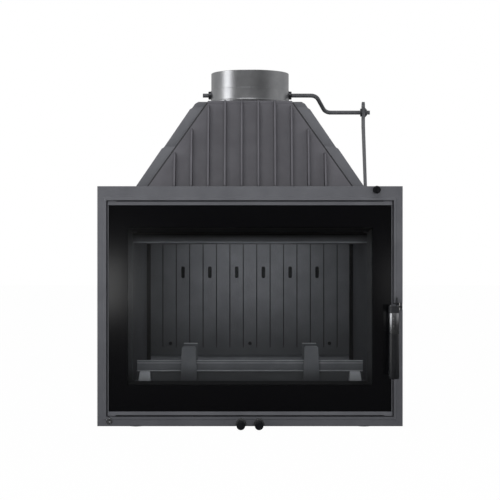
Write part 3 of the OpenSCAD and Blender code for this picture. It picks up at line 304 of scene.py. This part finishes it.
# Clear glass-ceramic with a black enamel border fired on. The border hides the seal and is opaque; the
# clear part has a slight smoky tint and mirrors the room a little.
def printedStoveGlass(name):
    material, tree = newMaterial(name)
    place = ownPlace(tree)
    low, high = at(doorGlass["left"], 0, doorGlass["low"]), at(doorGlass["right"], 0, doorGlass["top"])
    soft = doorGlass["soft"] * mm
    clear = 1
    for axis, edge, way in ((0, low.x, soft), (0, high.x, -soft), (2, low.z, soft), (2, high.z, -soft)):
        inside = addNode(tree, "ShaderNodeMapRange", {
            "Value": place[axis], "From Min": edge - way, "From Max": edge + way, "To Min": 0, "To Max": 1})
        clear = addNode(tree, "ShaderNodeMath", {0: clear, 1: inside}, operation="MULTIPLY")
    ripple = grainOn(tree, doorGlass["rippleMm"], detail=1)
    waves = addNode(tree, "ShaderNodeBump", {
        "Height": ripple, "Strength": doorGlass["ripple"], "Distance": doorGlass["rippleDeep"] * mm})
    enamel = addNode(tree, "ShaderNodeBsdfPrincipled", {
        "Base Color": hexColour(doorGlass["print"]), "Roughness": doorGlass["roughness"], "IOR": 1.5,
        "Normal": waves})
    through = addNode(tree, "ShaderNodeBsdfTransparent", {"Color": hexColour(doorGlass["tint"])})
    gloss = addNode(tree, "ShaderNodeBsdfGlossy", {"Roughness": doorGlass["roughness"]})
    # both faces of the pane mirror the same share: 4% straight on and more at a slant
    slant = addNode(tree, "ShaderNodeLayerWeight", {"Blend": 0.5})
    steep = addNode(tree, "ShaderNodeMath", {0: slant.outputs["Facing"], 1: 5}, operation="POWER")
    mirror = addNode(tree, "ShaderNodeMath", {
        0: steep, 1: 1 - doorGlass["mirror"], 2: doorGlass["mirror"]}, operation="MULTIPLY_ADD")
    pane = addNode(tree, "ShaderNodeMixShader", {0: mirror, 1: through, 2: gloss})
    whole = addNode(tree, "ShaderNodeMixShader", {0: clear, 1: enamel, 2: pane})
    addNode(tree, "ShaderNodeOutputMaterial", {"Surface": whole})
    return material


# The shell: an even, matt mid grey
paintedIron = sandCastPaint("sprayedGreyOnSandCastIron", "#626368", "#595a5f", 0.55)

# The frame: the same grey, with painted shade towards its foot and a little towards its right edge
frameIron = sandCastPaint("sprayedGreyOnTheFrame", "#626368", "#595a5f", 0.55, fades=(
    {"axis": 2, "full": -150, "gone": 480, "most": 0.45, "colour": "#34353a"},
    {"axis": 0, "full": 360, "gone": 300, "most": 0.13, "colour": "#34353a"}))

# The hood: pale ridges between fins with painted shade on their flanks, and a line of painted shade along
# both slants
hoodIron = sandCastPaint("sprayedGreyOnHoodCasting", "#616066", "#57565c", 0.55, flanks="#1a1a1d", joint={
    "foot": (290.5, 492), "top": (105, 763), "wide": 3.2, "colour": "#18191b"})

# The hood's top and rear: the same grey, without the painted shade on the flanks and along the slants
hoodEndIron = sandCastPaint("sprayedGreyOnHoodEnds", "#616066", "#57565c", 0.55)

# The hood's sides: paler, as painted light, since they are turned away from the lamps
hoodSideIron = sandCastPaint("sprayedGreyOnHoodSides", "#707176", "#66676c", 0.55)

# Bare iron inside the chamber has a coarser grain than the painted shell
bareGrain = {"grainMm": 1.6, "depthMm": 0.05}
chamberIron = sandCastPaint("bareIronOfTheFireChamber", "#77787d", "#6b6c71", 0.5, **bareGrain)

# The fire opening: painted shade, black at the top and dark at the foot
mouthIron = sandCastPaint("ironOfTheFireOpeningWithPaintedShade", "#36373a", "#2e2f32", 0.5, **bareGrain, fades=(
    {"axis": 2, "full": 462, "gone": 405, "most": 1, "colour": "#050506"},
    {"axis": 2, "full": 96, "gone": 150, "most": 0.8, "colour": "#050506"}))

# The baffle: a painted highlight in one thin pale row along its rounded bar, and black painted shade above it
baffleIron = sandCastPaint(
    "ironOfTheBaffleWithPaintedLightAndShade", "#4c4d51", "#434448", 0.5, **bareGrain,
    fades=({"axis": 2, "full": 447, "gone": 428, "most": 1, "colour": "#0b0b0c"},),
    bands=({"low": 426, "high": 429.4, "behind": 0, "colour": "#8b8c91"},))

# The rear lining: iron with painted shade, black in its grooves and slots, and dimmer low down and towards
# the left
liningIron = sandCastPaint(
    "bareIronWithPaintedShadeInTheGrooves", "#626367", "#58595d", 0.6, **bareGrain,
    shadeBehind={"depth": 380.3, "way": 1, "colour": "#161617"}, fades=(
        {"axis": 2, "full": 130, "gone": 290, "most": 0.5, "colour": "#2b2c2e"},
        {"axis": 0, "full": -270, "gone": -130, "most": 0.4, "colour": "#2b2c2e"}))

# The side linings: painted shade that deepens towards the back
sideIron = sandCastPaint("ironOfTheSideLiningsWithPaintedShade", "#47484c", "#3e3f43", 0.55, **bareGrain, fades=(
    {"axis": 1, "full": 372, "gone": 210, "most": 0.8, "colour": "#141416"},))

# The log guard: painted shade on the bar's lower part, painted highlights along its edges, and painted shade
# at its foot
guardIron = sandCastPaint(
    "bareIronOfTheLogGuard", "#707176", "#636469", 0.45, **bareGrain,
    fades=({"axis": 2, "full": 96, "gone": 150, "most": 0.75, "colour": "#1d1d1f"},),
    bands=({"low": 98.4, "high": 122.2, "behind": 70, "colour": "#434446"},
           {"low": 122.2, "high": 124.6, "behind": 70, "colour": "#a3a4a8"},
           {"low": 140.6, "high": 143, "behind": 70, "colour": "#a3a4a8"},
           {"low": 146.6, "high": 148.4, "behind": 70, "colour": "#a3a4a8"}))

# The plates behind the guard: darker, as painted shade, with a painted highlight along the upper edge
plateIron = sandCastPaint("ironOfTheBackPlatesWithPaintedLightAndShade", "#58595d", "#4c4d51", 0.5, bands=(
    {"low": 187, "high": 189.4, "behind": 0, "colour": "#b4b5b9"},))

# The guard's end blocks: the palest of the castings, as painted light, with painted shade at the foot
blockIron = sandCastPaint("sprayedGreyOnTheGuardBlocks", "#a4a5aa", "#98999e", 0.5, fades=(
    {"axis": 2, "full": 96, "gone": 118, "most": 0.55, "colour": "#46474a"},))

# Screws of the rear lining, black and matt
screwSoot = sandCastPaint("sootOnTheLiningScrews", "#1d1d1f", "#151517", 0.6)

# The rear wall: painted grey outside, and black with painted shade on the face towards the fire
rearIron = sandCastPaint("sprayedGreyIronWithPaintedShadeInside", "#66676c", "#5c5d62", 0.55, shadeBehind={
    "depth": 394.6, "way": -1, "colour": "#121213"})

# Zinc plating is cool and half matt; the collar is brighter, with faint lines up the tube
plainSteel = linedSteel("zincPlatedSteel", "#a5a7ab", "#8e9094", 0.34, 0.8)
collarSteel = linedSteel("rolledSteelOfTheCollar", "#c4c5c7", "#b3b4b7", 0.3, 1.2, (1, 1, 0.05), 0.003)

# The weld's heat leaves the shaft's bosses dark and dull
weldedSteel = linedSteel("steelDarkenedByWelding", "#57585b", "#454649", 0.42, 1.2, depthMm=0.01)

# Turned and polished pieces: the bushes glint, and the sleeve shows long soft streaks
bushSteel = linedSteel("brightTurnedSteelOfTheBushes", "#d5d6d9", "#c4c5c8", 0.24, 0.8, depthMm=0.005)
sleeveSteel = linedSteel("polishedSteelOfTheSleeve", "#bfc0c2", "#adaeb1", 0.2, 0.8, (1, 1, 0.1), 0.003)

# Sheet of the ash pan: dull, with the mill's lines across it
panSteel = linedSteel("pressedSteelOfTheAshPan", "#8f9195", "#77797d", 0.42, 1.5, (0.1, 1, 1))

# Door paint is a deep grey with a soft sheen; the rods are paler and the handle's cap nearly black
blackPaint = satinStovePaint("satinBlackPaintOnSteel", "#46474b", "#393a3e", 0.32)
rodPaint = satinStovePaint("greyPaintOnTheDamperRods", "#5a5b5f", "#4c4d51", 0.34)
capPaint = satinStovePaint("blackPaintOnTheHandleCap", "#2b2c2f", "#222326", 0.36)

# The grip has a clear highlight along it, and the knobs are worn duller by hands
blackGrip = mouldedBlack("mouldedBlackGrip", "#1b1c1f", "#131416", 0.34)
blackKnob = mouldedBlack("mouldedBlackKnob", "#1a1b1e", "#121315", 0.3, shine=0.12)

ropeWeave = wovenGlassRope("wovenGlassFibreRope", "#45423f", "#1f1e1d")
stoveGlass = printedStoveGlass("stoveGlassWithBlackBorder")
print("materials made")

slotMaterials = {
    "cast_iron_grey": paintedIron, "cast_iron_dark": chamberIron, "steel_plain": plainSteel,
    "steel_collar": collarSteel, "steel_sleeve": sleeveSteel, "black_paint": blackPaint,
    "black_grip": blackGrip, "black_knob": blackKnob, "door_glass": stoveGlass, "rope": ropeWeave}

# Nodes whose finish differs from the one of their slot
ownMaterials = {
    "facade_frame": frameIron, "front_plate": mouthIron, "rear_wall": rearIron,
    "hood_front": hoodIron, "hood_rear": hoodEndIron, "hood_top": hoodEndIron,
    "hood_left": hoodSideIron, "hood_right": hoodSideIron,
    "baffle": baffleIron, "rear_lining": liningIron, "lining_screws": screwSoot,
    "side_lining_left": sideIron, "side_lining_right": sideIron,
    "log_guard": guardIron, "guard_back_plates": plateIron, "guard_end_blocks": blockIron,
    "rod_bushes": bushSteel, "corner_screw": bushSteel, "ash_pan": panSteel, "ash_shelf": panSteel,
    "damper_shaft": rodPaint, "link_bar": rodPaint, "handle_cap": capPaint, "handle_bracket": capPaint}
slotOf = {part["node"]: part["material_slot"] for part in frame["record"]["subparts"]}
bodyOf = {node: body for body, nodes in frame["record"]["behaviour"]["bodies"].items() for node in nodes}


def materialOf(node):
    return ownMaterials.get(node, slotMaterials[slotOf[node]])


def dress(thing, material):
    thing.data.materials.clear()
    thing.data.materials.append(material)


for node, thing in frame["nodes"].items():
    dress(thing, materialOf(node))


def addMesh(name, shape, material):
    mesh = bpy.data.meshes.new(name)
    shape.to_mesh(mesh)
    shape.free()
    thing = bpy.data.objects.new(name, mesh)
    bpy.context.scene.collection.objects.link(thing)
    dress(thing, material)
    return thing


# A detailed piece that stands in for a node, or for a part of it
def addPiece(name, node, shape, material=None, smoothTo=32, flatFaces=False):
    thing = addMesh(name, shape, material or materialOf(node))
    thing.data.polygons.foreach_set("use_smooth", [True] * len(thing.data.polygons))
    thing.data.set_sharp_from_angle(angle=math.radians(smoothTo))
    if flatFaces:
        # the large faces keep their own normals, so that only the rounded edges turn
        weights = thing.modifiers.new("flatFaces", "WEIGHTED_NORMAL")
        weights.keep_sharp = True
        weights.weight = 100
    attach(thing, bodyOf[node])
    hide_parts(node)


# Edges sharper than corner are rounded, and faces within flat degrees of each other are one face
foundry = {"corner": 35, "flat": 0.6, "segments": 2, "merge": 0.004, "cut": 0.001}
# Where a face runs right round a hole, the casting is cut so that no face closes on itself
ringCuts = {"facade_frame": [((0, 0, 0), (1, 0, 0)), ((0, 0, 0.28), (0, 0, 1))]}
# The frame is rounded on its front only, the bosses and lips behind it stay as cast
roundedTo = {"facade_frame": faceY + 5 * mm}
# Inner corners too tight for a fillet stay sharp
sharpInside = {"hood_left", "hood_right", "link_bar", "handle_cap"}


# Copy of a node's mesh, with the edges rounded as the foundry or the file leaves them
def roundCasting(node, edgeMm):
    shape = bmesh.new()
    shape.from_mesh(frame["nodes"][node].data)
    bmesh.ops.remove_doubles(shape, verts=shape.verts, dist=foundry["merge"] * mm)
    for place, way in ringCuts.get(node, []):
        cut = bmesh.ops.bisect_plane(shape, geom=shape.verts[:] + shape.edges[:] + shape.faces[:],
                                     plane_co=place, plane_no=way, dist=foundry["cut"] * mm)
        for edge in (e for e in cut["geom_cut"] if isinstance(e, bmesh.types.BMEdge)):
            edge.seam = True
    bmesh.ops.dissolve_limit(shape, angle_limit=math.radians(foundry["flat"]), verts=shape.verts,
                             edges=shape.edges, delimit={"SEAM"})
    limit = math.radians(foundry["corner"])
    back = roundedTo.get(node, math.inf)
    edges = [e for e in shape.edges if len(e.link_faces) == 2 and e.calc_face_angle(0) > limit
             and max(v.co.y for v in e.verts) < back and (e.is_convex or node not in sharpInside)]
    if edges and edgeMm:
        bmesh.ops.bevel(shape, geom=edges, offset=edgeMm * mm, segments=foundry["segments"], profile=0.5,
                        affect="EDGES", material=-1, clamp_overlap=False)
    bmesh.ops.remove_doubles(shape, verts=shape.verts, dist=foundry["merge"] * mm)
    addPiece(node + "_cast", node, shape, flatFaces=edgeMm > 0)


# Width of each rounded edge in mm
castEdges = {
    "facade_frame": 0.45, "front_plate": 0.8, "hood_front": 0.9, "hood_left": 0.6, "hood_right": 0.6,
    "hood_rear": 1.0, "hood_top": 0.8, "hood_flange": 1.0, "side_wall_left": 1.0, "side_wall_right": 1.0,
    "rear_wall": 1.0, "side_lining_left": 1.2, "side_lining_right": 1.2, "baffle": 0.8,
    "hearth_floor": 0.6, "log_guard": 0.5, "guard_back_plates": 0.8, "guard_end_blocks": 0.8,
    "fire_grate": 0.6, "base_plate": 0.8, "door_top_rail": 0.4, "door_bottom_rail": 0.4,
    "handle_bracket": 0.3, "handle_lever": 0.5, "handle_cap": 0.6, "link_bar": 0.4, "door_glass": 0.5}
for node, edgeMm in castEdges.items():
    roundCasting(node, edgeMm)
print("castings rounded")


mergeGap = 0.01 * mm     # points of a turned or swept piece that are closer than this are one


# Turned piece: a profile of (radius, along) in mm spun round an axis through a place
def turnPiece(name, node, profile, place, axis, material=None, steps=96, smoothTo=40, flatFaces=False):
    shape = bmesh.new()
    points = [shape.verts.new((r * mm, 0, a * mm)) for r, a in profile]
    rim = [shape.edges.new(pair) for pair in zip(points, points[1:])]
    bmesh.ops.spin(shape, geom=points + rim, cent=(0, 0, 0), axis=(0, 0, 1), angle=math.tau,
                   steps=steps, use_merge=True)
    bmesh.ops.remove_doubles(shape, verts=shape.verts, dist=mergeGap)
    turned = Vector((0, 0, 1)).rotation_difference(Vector(axis)).to_matrix().to_4x4()
    bmesh.ops.transform(shape, matrix=Matrix.Translation(place) @ turned, verts=shape.verts)
    bmesh.ops.recalc_face_normals(shape, faces=shape.faces)
    addPiece(name, node, shape, material, smoothTo, flatFaces)


# Points of a rounded corner about a centre, from one angle to another
def roundOff(centre, radius, start, stop, steps=5):
    turns = [math.radians(start + (stop - start) * i / steps) for i in range(steps + 1)]
    return [(centre[0] + radius * math.cos(t), centre[1] + radius * math.sin(t)) for t in turns]


# The two air knobs: a slight dish in front, a rounded edge, and a body that tapers to its rim
airKnob = {
    "radius": 10, "length": 45, "edge": 2.6, "dish": 0.4, "dishRim": 1.2, "thinner": 0.35, "thinnerAt": 27,
    "taper": 0.4, "rim": 1.2, "bore": 4.05, "boreDeep": 20, "gap": 5, "across": 21, "height": 6.6}


def makeAirKnob(side, word):
    r, edge, long, rim = [airKnob[k] for k in ("radius", "edge", "length", "rim")]
    bore, boreEnd = airKnob["bore"], long - airKnob["boreDeep"]
    profile = [(0, airKnob["dish"]), (r - edge - airKnob["dishRim"], 0)]
    profile += roundOff((r - edge, edge), edge, -90, 0) + [(r - airKnob["thinner"], airKnob["thinnerAt"])]
    profile += roundOff((r - airKnob["taper"] - rim, long - rim), rim, 0, 90)
    profile += [(bore, long), (bore, boreEnd), (0, boreEnd)]
    place = at(side * airKnob["across"], -airKnob["gap"] - long, airKnob["height"])
    turnPiece("air_knob_" + word + "_turned", "air_knob_" + word, profile, place, (0, 1, 0))


makeAirKnob(-1, "left")
makeAirKnob(1, "right")

# The damper's pull knob: short and round, narrowing to its neck at the rod
pullKnob = {
    "radius": 9, "length": 22, "edge": 3, "dish": 0.2, "dishRim": 4, "neck": 6, "bore": 3.05,
    "boreDeep": 12, "gap": 4, "across": 293, "height": 549}


def makePullKnob():
    r, edge, long, bore = [pullKnob[k] for k in ("radius", "edge", "length", "bore")]
    boreEnd = long - pullKnob["boreDeep"]
    profile = [(0, pullKnob["dish"]), (pullKnob["dishRim"], 0)]
    profile += roundOff((r - edge, edge), edge, -90, 0) + roundOff((r - edge, long - edge), edge, 0, 70)
    profile += [(pullKnob["neck"], long), (bore, long), (bore, boreEnd), (0, boreEnd)]
    place = at(pullKnob["across"], -pullKnob["gap"] - long, pullKnob["height"])
    turnPiece("pull_knob_turned", "pull_knob", profile, place, (0, 1, 0))


makePullKnob()

# The door handle: grip and sleeve share one stud, and both end a little slimmer than the grip's foot
handle = {
    "across": 328.1, "depth": -65, "radius": 12, "gripFoot": 115.4, "gripTop": 218.4, "sleeveTop": 266,
    "stud": 4.05, "studFoot": 14, "footEdge": 3.2, "thinner": 0.2, "thinnerAt": 30, "taper": 0.5,
    "gripEdge": 0.8, "sleeveEdge": 0.4, "gap": 0.05}


def makeHandle():
    r, stud, foot = handle["radius"], handle["stud"], handle["gripFoot"]
    end, studEnd, curve = handle["gripTop"], foot + handle["studFoot"], handle["footEdge"]
    place = at(handle["across"], handle["depth"], 0)
    grip = [(0, foot)] + roundOff((r - curve, foot + curve), curve, -90, 0)
    grip += [(r - handle["thinner"], foot + handle["thinnerAt"])]
    slim, edge = r - handle["taper"], handle["gripEdge"]
    grip += roundOff((slim - edge, end - edge), edge, 0, 90) + [(stud, end), (stud, studEnd), (0, studEnd)]
    turnPiece("handle_grip_turned", "handle_grip", grip, place, (0, 0, 1))
    low, top, edge = end + handle["gap"], handle["sleeveTop"] - handle["gap"], handle["sleeveEdge"]
    sleeve = [(stud, low)] + roundOff((slim - edge, low + edge), edge, -90, 0)
    sleeve += roundOff((slim - edge, top - edge), edge, 0, 90) + [(stud, top), (stud, low)]
    turnPiece("handle_sleeve_turned", "handle_sleeve", sleeve, place, (0, 0, 1))


makeHandle()
print("knobs and handle turned")

# Rope gasket as a round-edged loop seated in the door
gasket = {
    "width": 12, "thick": 5.7, "depth": 20, "side": 313, "low": 33.1, "top": 514.5, "corner": 9,
    "segments": 16, "cornerSteps": 6}


def makeGasket():
    half, rise = gasket["width"] / 2, gasket["thick"] / 2
    depth = gasket["depth"] + rise
    middle = (gasket["low"] + gasket["top"]) / 2
    sideIn = gasket["side"] - gasket["corner"]
    endIn = (gasket["top"] - gasket["low"]) / 2 - gasket["corner"]
    shape = bmesh.new()
    section = bmesh.ops.create_circle(shape, segments=gasket["segments"], radius=half * mm)["verts"]
    bmesh.ops.scale(shape, vec=(1, rise / half, 1), verts=section)
    bmesh.ops.translate(shape, vec=at(gasket["side"], depth, middle + endIn), verts=section)
    last = section + shape.edges[:]
    # round each corner, then straight on to the next
    for cornerX, cornerZ, runX, runZ in ((1, 1, -2, 0), (-1, 1, 0, -2), (-1, -1, 2, 0), (1, -1, 0, 2)):
        bend = bmesh.ops.spin(shape, geom=last, cent=at(cornerX * sideIn, depth, middle + cornerZ * endIn),
                              axis=(0, -1, 0), angle=math.radians(90), steps=gasket["cornerSteps"],
                              use_merge=False)
        rim = [e for e in bend["geom_last"] if isinstance(e, bmesh.types.BMEdge)]
        grown = bmesh.ops.extrude_edge_only(shape, edges=rim)["geom"]
        moved = [v for v in grown if isinstance(v, bmesh.types.BMVert)]
        bmesh.ops.translate(shape, vec=(runX * sideIn * mm, 0, runZ * endIn * mm), verts=moved)
        last = moved + [e for e in grown if isinstance(e, bmesh.types.BMEdge)
                        and all(v in moved for v in e.verts)]
    bmesh.ops.remove_doubles(shape, verts=shape.verts, dist=mergeGap)
    bmesh.ops.recalc_face_normals(shape, faces=shape.faces)
    addPiece("door_gasket_rope", "door_gasket", shape, smoothTo=80)


makeGasket()

# Flue collar of rolled tube: a foot ring with its weld, and a drawn-in spigot with a rounded lip
collar = {
    "depth": 235, "foot": 769, "top": 846, "radius": 97, "wall": 3, "ring": 101, "ringTop": 776,
    "ringFoot": 0.5, "ringEdge": 1.5, "weld": 1.2, "weldFoot": 0.2, "spigot": 804, "step": 0.6, "drawnIn": 1}


def makeCollar():
    r, inner, edge = collar["radius"], collar["radius"] - collar["wall"], collar["ringEdge"]
    lip = (collar["wall"] - collar["drawnIn"]) / 2
    weldFoot = collar["ringTop"] + collar["weldFoot"]
    profile = [(inner, collar["foot"]), (collar["ring"] - collar["ringFoot"], collar["foot"])]
    profile += roundOff((collar["ring"] - edge, collar["ringTop"] - edge), edge, 0, 90)
    profile += [(r + collar["weld"], weldFoot), (r, weldFoot + collar["weld"])]
    profile += [(r, collar["spigot"] - collar["step"]), (r - collar["drawnIn"], collar["spigot"])]
    profile += roundOff((inner + lip, collar["top"] - lip), lip, 0, 180, 8)
    profile += [(inner, collar["foot"])]
    turnPiece("flue_collar_tube", "flue_collar", profile, at(0, collar["depth"], 0), (0, 0, 1),
              steps=192, smoothTo=50, flatFaces=True)


# The two bosses that carry the damper's shaft, each with the hollow weld at its foot
shaftBoss = {
    "height": 792.8, "bore": 5.05, "radius": 10, "start": 94.1, "end": 103, "edge": 1.2, "weld": 2,
    "weldFoot": 1.2, "weldMiddle": 2.2, "weldTop": 4}


def makeShaftBoss(side, word):
    r, bore, edge, weld = [shaftBoss[k] for k in ("radius", "bore", "edge", "weld")]
    start, end = shaftBoss["start"], shaftBoss["end"]
    profile = [(bore, start), (bore, end)] + roundOff((r - edge, end - edge), edge, 90, 0)
    profile += [(r, start + shaftBoss["weldTop"])]
    profile += roundOff((r + weld, start + shaftBoss["weldMiddle"]), weld, 180, 250)
    profile += [(r + shaftBoss["weldFoot"], start), (bore, start)]
    turnPiece("shaft_boss_" + word, "flue_collar", profile, at(0, collar["depth"], shaftBoss["height"]),
              (side, 0, 0), weldedSteel, steps=48)


makeCollar()
makeShaftBoss(-1, "left")
makeShaftBoss(1, "right")
print("collar made")

# Smooth copies of the bent and turned steel, whose nodes are faceted
steelEdges = {
    "damper_shaft": 0, "crank_nut": 0, "pull_rod": 0, "air_rod_left": 0, "air_rod_right": 0,
    "rod_bushes": 0.25, "corner_screw": 0.25, "hinge_pins": 0, "handle_pin": 0, "lining_screws": 0,
    "levelling_feet": 0.25, "ball_catch": 0}
for node, edgeMm in steelEdges.items():
    roundCasting(node, edgeMm)
print("steel smoothed")

# Nearly all of what the camera sees of the floor is paper white, and the rest keeps the shadow
studio = {"floor": "#f4f4f4", "paper": "#ffffff", "paperShare": 0.985, "mirrored": "#3f3f3f", "floorSize": 14}


def makeFloor():
    material, tree = newMaterial("palePaperFloor")
    matt = addNode(tree, "ShaderNodeBsdfDiffuse", {"Color": hexColour(studio["floor"])})
    glow = addNode(tree, "ShaderNodeEmission", {"Color": hexColour(studio["paper"]), "Strength": 1})
    path = addNode(tree, "ShaderNodeLightPath")
    part = addNode(tree, "ShaderNodeMath", {0: path.outputs["Is Camera Ray"], 1: studio["paperShare"]},
                   operation="MULTIPLY")
    paper = addNode(tree, "ShaderNodeMixShader", {0: part, 1: matt, 2: glow})
    # the floor in front of the object is dim in the glass, as in a room lit from above
    dim = addNode(tree, "ShaderNodeBsdfDiffuse", {"Color": hexColour(studio["mirrored"])})
    whole = addNode(tree, "ShaderNodeMixShader", {0: path.outputs["Is Glossy Ray"], 1: paper, 2: dim})
    addNode(tree, "ShaderNodeOutputMaterial", {"Surface": whole})
    shape = bmesh.new()
    bmesh.ops.create_grid(shape, x_segments=1, y_segments=1, size=studio["floorSize"])
    addMesh("studioFloor", shape, material)


makeFloor()

# Strength of the room's light. What metal and glass mirror goes from one pair to the next: the first of
# each is how far a ray looks away from the camera or up, the second is the strength there.
room = {
    "ambient": 0.42, "behindCamera": (-0.985, 0.004), "backdrop": (-0.3, 0.4), "wallFoot": (0.05, 0),
    "wallTop": (0.11, 0.2)}


def makeWorld():
    world = bpy.data.worlds.new("studioRoom")
    bpy.context.scene.world = world
    world.use_nodes = True
    tree = world.node_tree
    tree.nodes.clear()
    place = addNode(tree, "ShaderNodeTexCoord")
    way = addNode(tree, "ShaderNodeSeparateXYZ", {"Vector": place.outputs["Generated"]})
    # metal sees the room dim behind the camera and pale at the back, and a pale wall a little higher up
    walls = []
    for axis, start, stop in ((1, "behindCamera", "backdrop"), (2, "wallFoot", "wallTop")):
        walls.append(addNode(tree, "ShaderNodeMapRange", {
            "Value": way.outputs[axis], "From Min": room[start][0], "To Min": room[start][1],
            "From Max": room[stop][0], "To Max": room[stop][1]}))
    mirrored = addNode(tree, "ShaderNodeMath", {0: walls[0], 1: walls[1]}, operation="MAXIMUM")
    path = addNode(tree, "ShaderNodeLightPath")
    seen = addNode(tree, "ShaderNodeMath", {
        0: path.outputs["Is Camera Ray"], 1: path.outputs["Is Transmission Ray"]}, operation="MAXIMUM")
    soft = addNode(tree, "ShaderNodeMix", {
        "Factor": path.outputs["Is Glossy Ray"], "A": room["ambient"], "B": mirrored})
    level = addNode(tree, "ShaderNodeMix", {"Factor": seen, "A": soft, "B": 1.0})
    sky = addNode(tree, "ShaderNodeBackground", {"Color": hexColour(studio["paper"]), "Strength": level})
    addNode(tree, "ShaderNodeOutputWorld", {"Surface": sky})


makeWorld()

# Metres and watts; a lamp with seen False isn't mirrored in the glass or the metal
lamps = {
    "keyTop": {"place": (-0.5, -2.6, 2.9), "aim": (0, 0, 0.45), "size": (2.2, 1.6), "power": 33},
    "fillRight": {"place": (2.4, -2.2, 1.3), "aim": (0, 0, 0.4), "size": (1.2, 1.8), "power": 12,
                  "seen": False},
    "bandLeft": {"place": (-2.6, -0.9, 1.1), "aim": (0, 0.07, 0.7), "size": (1.2, 2.2), "power": 15},
    "frontSoft": {"place": (0, -3.9, 0.42), "aim": (0, 0, 0.4), "size": (1.6, 0.5), "power": 24,
                  "seen": False},
    "underTheBaffle": {"place": (0, 0.0, 0.42), "aim": (0, 0.22, 0.33), "size": (0.24, 0.05),
                       "power": 0.68, "seen": False},
    "overTheGuard": {"place": (0, -0.115, 0.455), "aim": (0, -0.1, 0.1), "size": (0.5, 0.012),
                     "power": 0.1, "seen": False},
    "glowInTheGlass": {"place": (-0.57, -2.5, 0.28), "aim": (-0.31, -0.16, 0.3), "size": (0.14, 0.2),
                       "power": 0.27},
    "glowOnTheRight": {"place": (0.6, -2.5, 0.3), "aim": (0.31, -0.16, 0.3), "size": (0.14, 0.2),
                       "power": 0.06}}


def makeLamp(name, facts):
    light = bpy.data.lights.new(name, "AREA")
    light.shape = "RECTANGLE"
    light.size, light.size_y = facts["size"]
    light.energy = facts["power"]
    lamp = bpy.data.objects.new(name, light)
    lamp.location = facts["place"]
    lamp.rotation_euler = (Vector(facts["aim"]) - Vector(facts["place"])).to_track_quat("-Z", "Y").to_euler()
    lamp.visible_glossy = facts.get("seen", True)
    lamp.visible_camera = False
    bpy.context.scene.collection.objects.link(lamp)


for name, facts in lamps.items():
    makeLamp(name, facts)

view = bpy.data.cameras.new("photoView")
view.sensor_width = shot["sensor"]
view.lens = shot["focal"] / shot["pixels"] * shot["sensor"]
camera = bpy.data.objects.new("photoView", view)
camera.location = (0, faceY - shot["distance"] * mm, shot["height"] * mm)
camera.rotation_euler = (math.radians(90), 0, 0)
bpy.context.scene.collection.objects.link(camera)
bpy.context.scene.camera = camera
bpy.context.scene.view_settings.view_transform = "Standard"
print("floor, lamps and camera set")
